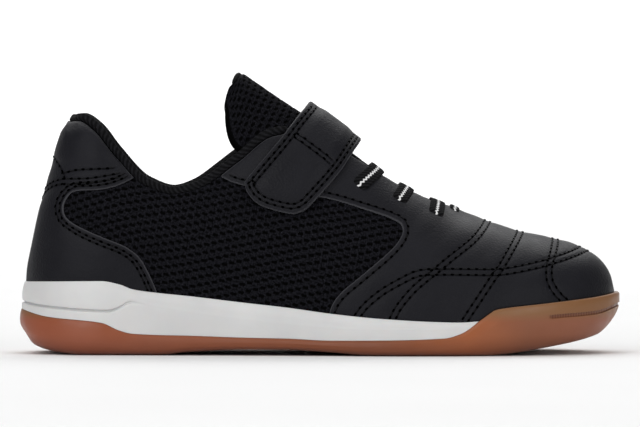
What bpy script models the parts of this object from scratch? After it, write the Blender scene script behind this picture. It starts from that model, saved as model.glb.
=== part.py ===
"""Indoor court shoe for a child's right foot, standing empty on its sole.

The shoe is worked out in millimetres: x from the back of the heel to the toe, y from the outer (lateral)
side at minus to the inner (medial) side at plus, z up from the floor. to_frame() turns that into metres
with the origin under the middle of the shoe.
"""

import bmesh
import bpy
import numpy as np

# Driving dimensions, in millimetres.
LENGTH = 205.0
FLARE = 3.2  # how far the sole stands out from the upper, all round
CLEARANCE = 0.3  # gap between pieces that touch on the real shoe
WALL = 2.0  # thickness of the upper
PANEL = 0.8  # thickness of the smooth panels on the upper
BINDING_WIDTH = 2.9
BINDING_END = 89.0  # x where the roll stops, under the strap
STRAP_THICK = 2.0
LACE_WIDTH = 5.0
LACE_THICK = 1.1
TONGUE_THICK = 4.2
INSOLE_THICK = 3.0
TREAD_DEPTH = 1.0
TREAD_SLOT = 1.8

HEEL_END = FLARE
TOE_END = LENGTH - FLARE
PANEL_OUT = CLEARANCE + PANEL
BAND_GAP = 0.5  # between the panels and the strap and laces
BAND_LIFT = PANEL_OUT + BAND_GAP
CUP_GAP = 0.55  # between the upper's skirt and the cup that it stands in
PANEL_DROP = 0.6  # of the panels' top edge below the collar edge
RIM_GAP = 0.6  # between the panels' lower edge and the sole's top edge
END_ROUNDNESS = 2.35  # exponent of the heel and toe in plan
HEEL_ROUND = 30.0  # length over which the heel rounds off in plan
TOE_ROUND = 50.0
STATIONS = {"heel": 7, "back": 6, "sides": 12, "front": 4, "toe": 10}
ARCH_ROWS = 7
SOLE_STEPS = 26  # points along each side of the sole

TREAD_INSET = 4.0  # of the flat tread inside the upper's widest line
TREAD_EDGE = 1.4  # how far out the tread's rounded edge ends
TREAD_RISE = 1.2  # and how high over the tread
LEAST_SIDE = 0.4  # of the sole's side over that edge
GROOVE_IN = (0.6, 0.5, 0.35)  # of the toe groove's lower lip, middle and upper lip from the fullest line
GROOVE_SHARE = 0.06  # half of the groove's height, as a share of the side
LIP_IN = 0.9  # of the gum's top lip from the fullest line
CUP_EDGE = 1.2  # how far out the cup's inner edge lies
OVER = 2.0  # reach of a form past the face that trims it
FOAM_END = 158.0  # x where the gum's top line has passed the foam
FOAM_HIDDEN = 2.5  # depth of the foam behind the gum
FOAM_TURN = 1.0  # height of the turn under the heel panel's step
FOAM_LINE = 9.0  # highest that the foam starts from
FOAM_FOOT, FOAM_FULL, FOAM_STEP = 2.3, 2.6, 2.5  # how far out its foot, its fullest line and the step lie
INSOLE_GAP = 0.5
INSOLE_ROUND = 0.7
PANEL_END = 0.5  # reach of a panel's outline past the end of its edge
PANEL_MARGIN = 0.2
BINDING_RISE = 0.45  # of the roll over the collar edge
BINDING_SHAPE = (1.08, 0.72)  # height by its width, and thickness by wall and panel
BINDING_SIDES = 8
WALL_SHARE = 0.94  # of the arch, from where the wall's direction at the edge is read
TONGUE_TURN = np.pi / 2 * 0.96  # angle of the tongue's arch at its edges
SWELL_START = 0.2  # how far from the middle the tongue's swelling begins to fall
BRIDGE_STEPS = 13
STRAP_SPAN = (70.0, 124.0)
STRAP_SLANT = 1.2  # height gained on the slope by a millimetre square to it
SAG_REACH, RISE_REACH = -1.0, 8.0  # of a band's sag or rise, past the opening's edge
LACE_SAG = -0.2  # as a share of the opening's half-width
LEAST_REACH = 1.0
LACE_SPAN = (6.0, 8.0)  # of a bar's form, before and past its outline
LACE_OVER = 12.0  # reach of a bar's outline over the instep

MM = 0.001
FAR = 130.0  # reach of a cutter past the shoe
PAST_END = 8.0  # reach of a side-view line past the shoe's ends
BELOW = -20.0  # height of a cutter's foot, under the floor
LINE_STEPS = 14
GUM_STEPS = 60
WIDEST_OPENING = 0.97  # share of the upper's width
TINY = 1e-6


def table(columns, *rows):
    """Rows of numbers under named columns."""
    return dict(zip(columns.split(), np.array(rows, float).T))


# Plan of the upper at its widest line: centre line and half-widths before the ends are rounded.
PLAN = table(
    "x centre lateral medial",
    (3.2, 0.0, 26.0, 26.0),
    (32.0, 0.0, 26.0, 26.0),
    (60.0, -1.2, 26.3, 26.3),
    (85.0, -2.6, 27.3, 27.3),
    (110.0, -3.0, 30.4, 30.2),
    (130.0, -1.4, 34.6, 34.0),
    (150.0, 1.0, 36.6, 34.4),
    (170.0, 3.5, 37.5, 33.0),
    (201.8, 5.5, 36.5, 32.0),
)
# Height of the widest line of the upper and of the floor inside the sole's cup, and the exponent of the
# upper's cross-sections, which are fuller at the heel and toe than over the instep.
BASE = table(
    "x widest floor round",
    (3.2, 24.1, 16.0, 2.5),
    (30.0, 24.0, 15.5, 2.5),
    (60.0, 19.5, 13.5, 2.4),
    (90.0, 15.8, 10.5, 2.3),
    (120.0, 12.0, 8.0, 2.1),
    (150.0, 11.0, 7.5, 2.05),
    (170.0, 13.5, 8.6, 2.2),
    (190.0, 18.0, 11.2, 2.3),
    (201.8, 20.8, 13.6, 2.3),
)
# Back of the heel from the widest line up to the collar.
HEEL_BACK = table(
    "z x",
    (24.1, 3.2),
    (28.9, 3.5),
    (37.4, 5.2),
    (45.6, 6.8),
    (53.1, 8.5),
    (68.0, 13.4),
    (75.0, 15.9),
    (78.5, 17.4),
)
# Edge of the upper under the binding and along the throat, with the half-width of the opening.
OPENING = table(
    "x z half",
    (17.4, 78.5, 19.0),
    (21.0, 78.9, 19.0),
    (25.3, 76.3, 19.0),
    (32.2, 67.9, 19.2),
    (42.8, 57.3, 20.0),
    (52.6, 54.0, 20.5),
    (60.2, 55.4, 20.5),
    (75.0, 65.2, 19.0),
    (86.5, 73.8, 17.5),
    (96.0, 75.4, 16.0),
    (114.5, 66.7, 13.0),
    (129.8, 57.0, 11.0),
    (147.0, 48.8, 9.5),
)
OPENING_BACK_ROUND = 17.0
OPENING_FRONT_ROUND = 11.0
# Ridge of the vamp from the throat to the toe.
VAMP = table(
    "x z",
    (147.0, 48.8),
    (151.0, 47.2),
    (159.2, 44.2),
    (169.7, 40.5),
    (181.9, 38.1),
    (187.5, 36.6),
    (193.5, 34.2),
    (198.4, 30.0),
    (200.6, 26.0),
    (201.8, 20.8),
)
# Side of the sole: tread line, top of the gum, top of the white foam, the gum's fullest line as a share of
# its height, and the line of the groove round the toe bumper as a share of the height to the fullest line.
SOLE = table(
    "x tread gum foam full groove",
    (0.0, 8.0, 15.4, 24.4, 0.55, 0.5),
    (2.1, 6.3, 14.6, 24.4, 0.55, 0.5),
    (4.8, 3.2, 13.8, 24.5, 0.55, 0.5),
    (9.4, 1.6, 13.0, 24.8, 0.55, 0.5),
    (14.0, 0.8, 12.3, 24.9, 0.55, 0.5),
    (22.0, 0.0, 11.5, 25.0, 0.55, 0.5),
    (28.6, 0.0, 11.0, 25.1, 0.55, 0.5),
    (34.7, 0.0, 8.4, 24.0, 0.6, 0.5),
    (39.3, 0.0, 7.3, 22.3, 0.6, 0.5),
    (48.0, 0.0, 6.9, 21.1, 0.6, 0.5),
    (58.0, 1.1, 6.7, 20.1, 0.6, 0.5),
    (76.8, 1.9, 6.1, 17.9, 0.6, 0.5),
    (92.0, 1.9, 5.8, 16.2, 0.6, 0.5),
    (106.0, 1.1, 5.2, 14.3, 0.6, 0.5),
    (122.0, 0.0, 5.3, 12.7, 0.6, 0.5),
    (144.2, 0.0, 6.0, 11.5, 0.65, 0.6),
    (150.0, 0.0, 7.6, 11.4, 0.65, 0.7),
    (157.2, 0.0, 12.8, 11.8, 0.7, 0.75),
    (160.0, 0.0, 14.6, 11.8, 0.75, 0.8),
    (163.5, 0.4, 16.2, 11.8, 0.8, 0.83),
    (179.2, 2.6, 17.7, 11.8, 0.85, 0.8),
    (196.6, 6.4, 19.5, 11.2, 0.88, 0.66),
    (203.6, 11.3, 20.7, 11.2, 0.9, 0.55),
    (205.0, 12.4, 20.9, 11.2, 0.9, 0.5),
)
# Line of the step under the heel panel of the foam, with how deep it is cut.
HEEL_PANEL = table(
    "x z depth",
    (0.0, 17.8, 1.1),
    (8.8, 16.4, 1.1),
    (31.1, 15.0, 1.1),
    (34.1, 15.9, 0.9),
    (38.6, 18.0, 0.5),
    (44.0, 17.0, 0.0),
    (60.0, 14.0, 0.0),
    (120.0, 8.6, 0.0),
    (205.0, 8.6, 0.0),
)
# The foam's side over the step: how far out, at which share of the height.
FOAM_SIDE = table("out share", (2.4, 0.32), (2.2, 0.6), (1.45, 1.0), (0.95, 1.0))
TOE_GROOVE_DEPTH = 0.6
TOE_GROOVE_START = (176.0, 184.0)
# Middle line of the tongue's outer face from its sewn end to its tip, with its half-width, the drop of its
# edges and their lean towards the tip, and how far it swells up through the throat, whose half-width there is
# given too.
TONGUE = table(
    "s x z half drop lean swell throat",
    (0.0, 155.0, 42.7, 10.0, 1.6, 0.0, 0.0, 6.0),
    (0.1, 146.5, 45.3, 12.0, 2.6, 0.0, 0.0, 6.0),
    (0.2, 138.0, 50.3, 14.0, 3.4, 0.0, 1.2, 7.0),
    (0.32, 128.0, 57.3, 15.5, 4.6, 0.0, 1.0, 9.5),
    (0.48, 114.5, 67.8, 16.0, 7.5, 0.0, 1.4, 11.0),
    (0.68, 97.0, 81.4, 14.5, 15.0, 1.0, 2.6, 11.0),
    (0.8, 88.0, 87.3, 13.8, 23.5, 1.5, 0.8, 11.0),
    (0.92, 80.0, 92.8, 14.5, 15.0, 2.0, 0.0, 11.0),
    (1.0, 75.7, 95.4, 12.0, 6.0, 1.2, 0.0, 11.0),
    (1.05, 73.7, 95.6, 11.6, 5.4, 1.0, 0.0, 11.0),
)
TONGUE_STEPS = 18
TONGUE_ROWS = 12
# Lower line of the smooth vamp panel: from the sole up round the mesh and back along the eyestay.
VAMP_EDGE = table(
    "x z",
    (105.3, 10.0),
    (106.3, 16.0),
    (109.3, 20.9),
    (116.7, 27.2),
    (124.2, 33.5),
    (128.6, 38.0),
    (130.3, 42.0),
    (128.1, 45.1),
    (117.3, 49.2),
    (102.6, 53.4),
    (76.8, 57.3),
    (69.4, 59.9),
)
# Front line of the smooth heel panel: from the sole up round the mesh and forward along the heel tab.
COUNTER_EDGE = table(
    "x z",
    (46.6, 15.0),
    (46.6, 21.1),
    (42.6, 29.5),
    (39.8, 33.6),
    (35.3, 36.8),
    (27.6, 39.9),
    (15.8, 45.8),
    (14.4, 48.6),
    (14.7, 51.4),
    (16.8, 54.5),
    (20.0, 55.9),
    (26.9, 55.6),
    (32.5, 56.6),
    (38.1, 59.1),
)
# Outline of the strap seen from the side, carried on past the top of the instep.
STRAP_EDGE = table(
    "x z",
    (124.0, 82.9),
    (116.7, 72.8),
    (110.1, 63.3),
    (103.6, 55.8),
    (98.0, 49.9),
    (95.4, 48.6),
    (92.8, 48.1),
    (84.9, 49.9),
    (80.4, 52.2),
    (77.7, 55.4),
    (77.1, 58.0),
    (77.9, 60.2),
    (88.6, 72.9),
    (96.0, 82.4),
    (105.2, 93.0),
)
STRAP_TOP = table("x z", (70.0, 107.6), (99.4, 85.8), (116.8, 72.9), (124.0, 67.6))
# Lower end and top of each lace bar, seen from the side.
LACES = table(
    "x z top_x top_z",
    (114.3, 55.9, 121.7, 62.4),
    (128.1, 50.9, 131.5, 55.5),
    (141.1, 45.9, 142.3, 51.7),
)
# Slots across the tread, by the place of their middle.
TREAD_SLOTS = (27.0, 34.0, 41.0, 124.0, 132.0, 140.0, 148.0, 156.0)
TREAD_MARGIN = 7.0

LEATHER = ("smooth black panel", (0.012, 0.012, 0.014), 0.42)
MESH = ("black mesh", (0.006, 0.006, 0.007), 0.85)
KNIT = ("black knit", (0.007, 0.007, 0.008), 0.9)
FOAM = ("white foam", (0.74, 0.74, 0.74), 0.55)
GUM = ("gum rubber", (0.32, 0.11, 0.045), 0.45)
LACE = ("elastic lace", (0.01, 0.01, 0.011), 0.8)


def along(rows, column, at, key="x"):
    """The column's value at a place: a smooth curve through the rows that never overshoots between them."""
    places, values = rows[key], rows[column]
    steps = np.diff(places)
    slopes = np.diff(values) / steps
    product = slopes[1:] * slopes[:-1]
    total = np.where(product > 0, slopes[1:] + slopes[:-1], 1.0)
    tangents = np.concatenate([slopes[:1], np.where(product > 0, 2 * product / total, 0.0), slopes[-1:]])
    at = np.clip(at, places[0], places[-1])
    k = np.clip(np.searchsorted(places, at, side="right") - 1, 0, len(steps) - 1)
    t = (at - places[k]) / steps[k]
    start = values[k] * (1 + 2 * t) + tangents[k] * steps[k] * t
    end = values[k + 1] * (3 - 2 * t) - tangents[k + 1] * steps[k] * (1 - t)
    return start * (1 - t) ** 2 + end * t**2


def rounded(distance, length, power):
    """A share that grows from 0 at an end to 1 at the given length from it, like the end of an oval."""
    left = 1 - np.clip(distance / length, 0, 1)
    return (1 - left**power) ** (1 / power)


def fade(at, start, end):
    """0 before start, 1 after end, smooth between."""
    t = np.clip((at - start) / (end - start), 0, 1)
    return t * t * (3 - 2 * t)


def half_width(x, side):
    """Half-width of the upper in plan, from its centre line, on the side named."""
    heel = rounded(x - HEEL_END, HEEL_ROUND, END_ROUNDNESS)
    toe = rounded(TOE_END - x, TOE_ROUND, END_ROUNDNESS)
    return along(PLAN, side, x) * heel * toe


def opening_half(x):
    """Half-width of the collar and throat opening, from the centre line."""
    back = rounded(x - OPENING["x"][0], OPENING_BACK_ROUND, 2)
    front = rounded(OPENING["x"][-1] - x, OPENING_FRONT_ROUND, 2)
    return along(OPENING, "half", x) * back * front


def station_places():
    """(x, height of the closed ridge): close together at heel and toe, where the ridge is steep."""
    up = np.linspace(0, 1, STATIONS["heel"], endpoint=False)
    heel_z = HEEL_BACK["z"][0] + up * np.ptp(HEEL_BACK["z"])
    heel_x = along(HEEL_BACK, "x", heel_z, key="z")
    back, front = OPENING["x"][[0, -1]]
    turn = np.linspace(0, np.pi / 2, STATIONS["back"], endpoint=False)
    back_x = back + OPENING_BACK_ROUND * (1 - np.cos(turn))
    turn = np.linspace(0, np.pi / 2, STATIONS["front"] + 1)[1:]
    front_x = front - OPENING_FRONT_ROUND * (1 - np.sin(turn))
    side_x = np.linspace(back + OPENING_BACK_ROUND, front - OPENING_FRONT_ROUND, STATIONS["sides"] + 1)
    open_x = np.concatenate([back_x, side_x, front_x])
    turn = np.linspace(0, np.pi / 2, STATIONS["toe"] + 1)[1:]
    toe_x = VAMP["x"][0] + np.sin(turn) * np.ptp(VAMP["x"])
    x = np.concatenate([heel_x, open_x, toe_x])
    ridge = np.concatenate([heel_z, np.full(len(open_x), np.nan), along(VAMP, "z", toe_x)])
    return x, ridge


def arch(x, ridge):
    """(height of the arch over the widest line, share of it where the wall ends) at each station.

    Where the shoe is open the arch is carried on over the opening, as high as its edge asks for.
    """
    widest = along(BASE, "widest", x)
    mean = (half_width(x, "lateral") + half_width(x, "medial")) / 2
    power = along(BASE, "round", x)
    share = (1 - np.minimum(opening_half(x) / np.maximum(mean, TINY), WIDEST_OPENING) ** power) ** (1 / power)
    edge = along(OPENING, "z", x) - widest
    opened = np.isnan(ridge)
    return np.where(opened, edge / share, ridge - widest), np.where(opened, share, 1.0)


def half_section(x, ridge, side, angles):
    """Points of one side, a row of angles for each station: 0 at the widest line, 1 at the wall's top."""
    height, share = arch(x, ridge)
    power = along(BASE, "round", x)
    turn = angles[None, :] * np.arcsin(share ** (power / 2))[:, None]
    power = power[:, None]
    sign = -1 if side == "lateral" else 1
    across = half_width(x, side)[:, None] * np.cos(turn).clip(0) ** (2 / power)
    y = along(PLAN, "centre", x)[:, None] + sign * across
    z = along(BASE, "widest", x)[:, None] + height[:, None] * np.sin(turn) ** (2 / power)
    return np.stack([np.broadcast_to(x[:, None], y.shape), y, z], axis=-1)


def bridge_top(x):
    """Height of the centre line with the arch carried right over the opening, as the strap and laces lie."""
    carried = along(BASE, "widest", x) + arch(x, np.full(len(x), np.nan))[0]
    return np.where(x < VAMP["x"][0], carried, along(VAMP, "z", x))


def plan_loop(offset, steps=SOLE_STEPS):
    """Closed loop round the shoe in plan, pushed out from the upper's widest line by offset."""
    turn = np.linspace(0, np.pi, steps + 1)
    x = HEEL_END + (TOE_END - HEEL_END) * (1 - np.cos(turn)) / 2
    centre = along(PLAN, "centre", x)
    lateral = np.stack([x, centre - half_width(x, "lateral")], axis=-1)
    medial = np.stack([x, centre + half_width(x, "medial")], axis=-1)
    loop = np.concatenate([lateral, medial[-2:0:-1]])
    direction = np.roll(loop, -1, axis=0) - np.roll(loop, 1, axis=0)
    direction /= np.linalg.norm(direction, axis=1, keepdims=True)
    return loop + offset * np.stack([direction[:, 1], -direction[:, 0]], axis=-1)


def ring(offset, height):
    """A loop round the shoe at an offset, lifted to a height that depends on x."""
    loop = plan_loop(offset)
    return np.column_stack([loop, height(loop[:, 0])])


def side_shift():
    """What brings the sole's two sides to equal distances from the origin."""
    y = plan_loop(FLARE)[:, 1]
    return -(y.min() + y.max()) / 2


SHIFT = side_shift()


def to_frame(points):
    """Millimetres from heel and floor, to metres from under the middle of the shoe."""
    return (np.asarray(points, float) + (-LENGTH / 2, SHIFT, 0)) * MM


def material(finish):
    """The piece's material: a Principled shader with its colour and roughness."""
    name, colour, roughness = finish
    made = bpy.data.materials.get(name) or bpy.data.materials.new(name)
    made.use_nodes = True
    shader = made.node_tree.nodes["Principled BSDF"]
    shader.inputs["Base Color"].default_value = (*colour, 1)
    shader.inputs["Roughness"].default_value = roughness
    shader.inputs["Metallic"].default_value = 0
    return made


def add_object(name, points, faces, finish=None):
    """An object from points in millimetres; without a finish it is a cutter, which isn't rendered."""
    mesh = bpy.data.meshes.new(name)
    mesh.from_pydata(to_frame(points).tolist(), [], faces)
    shape = bmesh.new()
    shape.from_mesh(mesh)
    bmesh.ops.remove_doubles(shape, verts=shape.verts, dist=TINY)
    bmesh.ops.dissolve_degenerate(shape, edges=shape.edges, dist=TINY)
    shape.to_mesh(mesh)
    shape.free()
    made = bpy.data.objects.new(name, mesh)
    if finish:
        mesh.materials.append(material(finish))
        SHOE.objects.link(made)
    else:
        made.hide_render = True
        made.display_type = "WIRE"
        CUTTERS.objects.link(made)
    return made


def grid_faces(rows, columns, start=0, flip=False):
    """Triangles of a grid whose points are numbered row by row, split the same way on every layer."""
    faces = []
    for i in range(rows - 1):
        for j in range(columns - 1):
            a = start + i * columns + j
            b = a + columns
            for corners in ((a, b, b + 1), (a, b + 1, a + 1)):
                faces.append(corners[::-1] if flip else corners)
    return faces


def two_halves(lateral, medial):
    """(points, faces) of a surface from its lateral and medial grids, facing out."""
    rows, columns = lateral.shape[:2]
    points = np.concatenate([lateral.reshape(-1, 3), medial.reshape(-1, 3)])
    return points, grid_faces(rows, columns) + grid_faces(rows, columns, rows * columns, flip=True)


def lift(made, distance):
    """Move an open surface out along its normals, by millimetres or by a value for each point."""
    mesh = made.data
    normals = np.empty(len(mesh.vertices) * 3)
    mesh.vertices.foreach_get("normal", normals)
    points = np.empty(len(mesh.vertices) * 3)
    mesh.vertices.foreach_get("co", points)
    moved = points.reshape(-1, 3) + normals.reshape(-1, 3) * np.reshape(distance, (-1, 1)) * MM
    mesh.vertices.foreach_set("co", moved.ravel())
    mesh.update()


def thicken(made, thickness, side):
    """Give a surface a wall, outwards for side 1 and inwards for side -1."""
    wall = made.modifiers.new("Wall", "SOLIDIFY")
    wall.thickness = thickness * MM
    wall.offset = side


def cut(made, cutter, operation):
    """Cut with, or keep only what is inside, another solid."""
    boolean = made.modifiers.new(cutter.name, "BOOLEAN")
    boolean.operation = operation
    boolean.solver = "EXACT"
    boolean.object = cutter


def prism(name, outline):
    """A cutter: an outline seen from the side, carried right across the shoe."""
    outline = np.asarray(outline, float)
    following = np.roll(outline, -1, axis=0)
    if np.sum(outline[:, 0] * following[:, 1] - following[:, 0] * outline[:, 1]) < 0:
        outline = outline[::-1]
    count = len(outline)
    near = np.column_stack([outline[:, 0], np.full(count, -FAR), outline[:, 1]])
    far = near + (0, 2 * FAR, 0)
    index = list(range(count))
    sides = [(i, count + i, count + (i + 1) % count, (i + 1) % count) for i in index]
    ends = [index, [count + i for i in reversed(index)]]
    return add_object(name, np.concatenate([near, far]), ends + sides)


def smooth_line(rows, points_per_step=2):
    """A side-view line through the rows of a table, rounded between them."""
    steps = np.arange(len(rows["x"]), dtype=float)
    keyed = {"step": steps, **rows}
    at = np.linspace(0, steps[-1], (len(steps) - 1) * points_per_step + 1)
    return np.column_stack([along(keyed, "x", at, key="step"), along(keyed, "z", at, key="step")])


def rim_height(x):
    """Top edge of the sole at its side: the foam, then the gum round the toe."""
    return np.maximum(along(SOLE, "foam", x) * (x < FOAM_END), along(SOLE, "gum", x))


def rim_line(start, end):
    """The sole's top edge between two places, with the clearance that the panels keep to it."""
    x = np.linspace(start, end, LINE_STEPS)
    return np.column_stack([x, rim_height(x) + RIM_GAP])


def collar_line(start, end):
    """The opening's edge between two places, lowered to where the panels stop under the binding."""
    x = np.linspace(start, end, LINE_STEPS)
    return np.column_stack([x, along(OPENING, "z", x) - PANEL_DROP])


def loft(rings, first_cap=True, last_cap=True):
    """(points, faces) of a solid through closed rings, with strips from side to side at both ends."""
    count = len(rings[0])
    points = np.concatenate(rings)
    faces = []
    for k in range(len(rings) - 1):
        for i in range(count):
            j = (i + 1) % count
            faces.append((k * count + i, k * count + j, (k + 1) * count + j, (k + 1) * count + i))
    for wanted, base, flip in ((first_cap, 0, True), (last_cap, (len(rings) - 1) * count, False)):
        for i in range(count // 2) if wanted else ():
            strip = [base + i, base + i + 1, base + (count - i - 1) % count, base + (count - i) % count]
            strip = list(dict.fromkeys(strip))
            faces.append(strip[::-1] if flip else strip)
    return points, faces


def gum_line(gap=0.0):
    """Top line of the gum seen from the side, from behind the heel to past the toe."""
    x = np.concatenate([[-PAST_END], np.linspace(0, LENGTH, GUM_STEPS), [LENGTH + PAST_END]])
    return np.column_stack([x, along(SOLE, "gum", x) + gap])


def make_outsole():
    """Gum cup: tread, rounded side, groove round the toe bumper, top lip and floor inside the toe."""
    tread = lambda x: along(SOLE, "tread", x)
    gum = lambda x: along(SOLE, "gum", x)
    full = lambda x: tread(x) + along(SOLE, "full", x) * (gum(x) - tread(x))
    low = lambda x: np.minimum(tread(x) + TREAD_RISE, full(x) - LEAST_SIDE)
    step = lambda x, by: low(x) + (along(SOLE, "groove", x) + by) * (full(x) - low(x))
    lower, middle, upper = (FLARE - inset for inset in GROOVE_IN)
    groove = plan_loop(middle)
    groove -= (groove - plan_loop(0)) / middle * TOE_GROOVE_DEPTH * fade(groove[:, :1], *TOE_GROOVE_START)
    above = lambda x: np.maximum(gum(x), along(BASE, "floor", x)) + OVER
    rings = [
        ring(-TREAD_INSET, tread),
        ring(TREAD_EDGE, low),
        ring(lower, lambda x: step(x, -GROOVE_SHARE)),
        np.column_stack([groove, step(groove[:, 0], 0.0)]),
        ring(upper, lambda x: step(x, GROOVE_SHARE)),
        ring(FLARE, full),
        ring(FLARE - LIP_IN, above),
        ring(CUP_EDGE, above),
        ring(CUP_GAP, lambda x: along(BASE, "floor", x)),
    ]
    made = add_object("outsole", *loft(rings), GUM)
    line = [(LENGTH + PAST_END, BELOW), *gum_line()[::-1], (-PAST_END, BELOW)]
    cut(made, prism("below_gum_line", line), "INTERSECT")
    for place in TREAD_SLOTS:
        cut(made, tread_slot(place), "DIFFERENCE")
    return made


def tread_slot(place):
    """A shallow slot across the tread, short of both edges."""
    centre = along(PLAN, "centre", place)
    low = centre - half_width(place, "lateral") + TREAD_MARGIN
    high = centre + half_width(place, "medial") - TREAD_MARGIN
    x = place + np.array([-0.5, 0.5, 0.5, -0.5]) * TREAD_SLOT
    y = np.array([low, low, high, high])
    layers = [np.column_stack([x, y, np.full(4, z)]) for z in (-TREAD_DEPTH, TREAD_DEPTH)]
    faces = [(3, 2, 1, 0), (4, 5, 6, 7)] + [(i, (i + 1) % 4, 4 + (i + 1) % 4, 4 + i) for i in range(4)]
    return add_object(f"tread_slot_{place:.0f}", np.concatenate(layers), faces)


def make_midsole():
    """White foam cup with the stepped heel panel, cut off along the gum's top line."""
    foam = lambda x: along(SOLE, "foam", x)
    panel = lambda x: along(HEEL_PANEL, "z", x)
    low = lambda x: np.minimum(along(SOLE, "gum", x), FOAM_LINE) - FOAM_HIDDEN
    floor = lambda x: np.minimum(along(BASE, "floor", x), foam(x) - OVER)
    step = plan_loop(FOAM_STEP)
    step -= (step - plan_loop(0)) / FOAM_STEP * along(HEEL_PANEL, "depth", step[:, 0])[:, None]
    turn = lambda x: np.maximum(panel(x) - FOAM_TURN, low(x) + LEAST_SIDE)
    rings = [ring(FOAM_FOOT, low), ring(FOAM_FULL, turn), np.column_stack([step, panel(step[:, 0])])]
    for out, share in zip(*FOAM_SIDE.values()):
        rings.append(ring(out, lambda x, share=share: panel(x) + share * (foam(x) - panel(x))))
    rings.append(ring(CUP_GAP, floor))
    made = add_object("midsole", *loft(rings), FOAM)
    line = [(LENGTH + PAST_END, FAR), (-PAST_END, FAR), *gum_line(CLEARANCE)]
    cut(made, prism("above_gum_line", line), "INTERSECT")
    return made


def make_insole():
    """Foot bed on the floor of the cup, inside the upper's wall."""
    floor = lambda x: along(BASE, "floor", x) + CLEARANCE
    inside = -(WALL + INSOLE_GAP)
    rings = [
        ring(inside - INSOLE_ROUND, floor),
        ring(inside, lambda x: floor(x) + INSOLE_ROUND),
        ring(inside, lambda x: floor(x) + INSOLE_THICK - INSOLE_ROUND),
        ring(inside - INSOLE_ROUND, lambda x: floor(x) + INSOLE_THICK),
    ]
    return add_object("insole", *loft(rings), KNIT)


def upper_surface():
    """(lateral, medial) grids of the upper's outside, from the skirt in the cup to the opening's edge."""
    x, ridge = station_places()
    halves = []
    for side in ("lateral", "medial"):
        wall = half_section(x, ridge, side, np.linspace(0, 1, ARCH_ROWS + 1))
        skirt = wall[:, :1].copy()
        skirt[:, 0, 2] = along(BASE, "floor", x) + CLEARANCE
        halves.append(np.concatenate([skirt, wall], axis=1))
    return halves


def make_upper():
    """The hollow upper: an open surface with a wall on its inside."""
    made = add_object("upper", *two_halves(*upper_surface()), MESH)
    thicken(made, WALL, -1)
    return made


def make_panel(name, outline):
    """A smooth panel on the upper: the upper's own surface lifted off it, kept inside an outline."""
    made = add_object(name, *two_halves(*upper_surface()), LEATHER)
    lift(made, CLEARANCE)
    thicken(made, PANEL, 1)
    cut(made, prism(name + "_outline", outline), "INTERSECT")
    return made


def make_vamp_overlay():
    """Toe, sides and eyestays in one panel, down to the sole's edge."""
    edge = smooth_line(VAMP_EDGE)
    shown = edge[edge[:, 1] > rim_height(edge[:, 0]) + RIM_GAP + PANEL_MARGIN]
    rim = rim_line(shown[0, 0] - PANEL_END, LENGTH + PAST_END)
    collar = collar_line(BINDING_END + BINDING_WIDTH, shown[-1, 0] + PANEL_END)
    top = [(LENGTH + PAST_END, FAR), (BINDING_END + BINDING_WIDTH, FAR), *collar]
    return make_panel("vamp_overlay", np.concatenate([rim, top, shown[::-1]]))


def make_heel_counter():
    """Heel cup and heel tab in one panel, down to the sole's edge."""
    edge = smooth_line(COUNTER_EDGE)
    shown = edge[edge[:, 1] > rim_height(edge[:, 0]) + RIM_GAP + PANEL_MARGIN]
    rim = rim_line(-PAST_END, shown[0, 0] + PANEL_MARGIN)
    collar = collar_line(shown[-1, 0] - PANEL_END, OPENING["x"][0])
    top = [*collar, (-PAST_END, OPENING["z"][0] - PANEL_DROP)]
    return make_panel("heel_counter", np.concatenate([rim, shown, top]))


def make_collar_binding():
    """Knitted roll on the collar edge, from the lateral eyestay round the heel to the medial one."""
    x, ridge = station_places()
    x = x[np.isnan(ridge) & (x < BINDING_END)]
    near_edge = np.array([WALL_SHARE, 1.0])
    lateral, medial = (half_section(x, np.full(len(x), np.nan), s, near_edge) for s in ("lateral", "medial"))
    wall = np.concatenate([lateral[::-1], medial[1:]])
    edge = wall[:, 1]
    direction = np.gradient(edge, axis=0)
    direction /= np.linalg.norm(direction, axis=1, keepdims=True)
    up = edge - wall[:, 0]
    up -= np.sum(up * direction, axis=1, keepdims=True) * direction
    up /= np.linalg.norm(up, axis=1, keepdims=True)
    inward = np.cross(direction, up)
    middle = edge + up * (BINDING_RISE + BINDING_WIDTH / 2) + inward * WALL / 2
    turn = (np.arange(BINDING_SIDES) + 0.5) * 2 * np.pi / BINDING_SIDES
    high, thick = BINDING_SHAPE[0] * BINDING_WIDTH / 2, BINDING_SHAPE[1] * (WALL + PANEL)
    shape = np.stack([np.cos(turn) * high, np.sin(turn) * thick], axis=-1)
    points = middle[:, None] + up[:, None] * shape[None, :, :1] + inward[:, None] * shape[None, :, 1:]
    sections, sides = points.shape[:2]
    faces = []
    for i in range(sections - 1):
        for j in range(sides):
            k = (j + 1) % sides
            faces.append((i * sides + j, i * sides + k, (i + 1) * sides + k, (i + 1) * sides + j))
    faces.append(list(reversed(range(sides))))
    faces.append([(sections - 1) * sides + j for j in range(sides)])
    return add_object("collar_binding", points.reshape(-1, 3), faces, KNIT)


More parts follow.
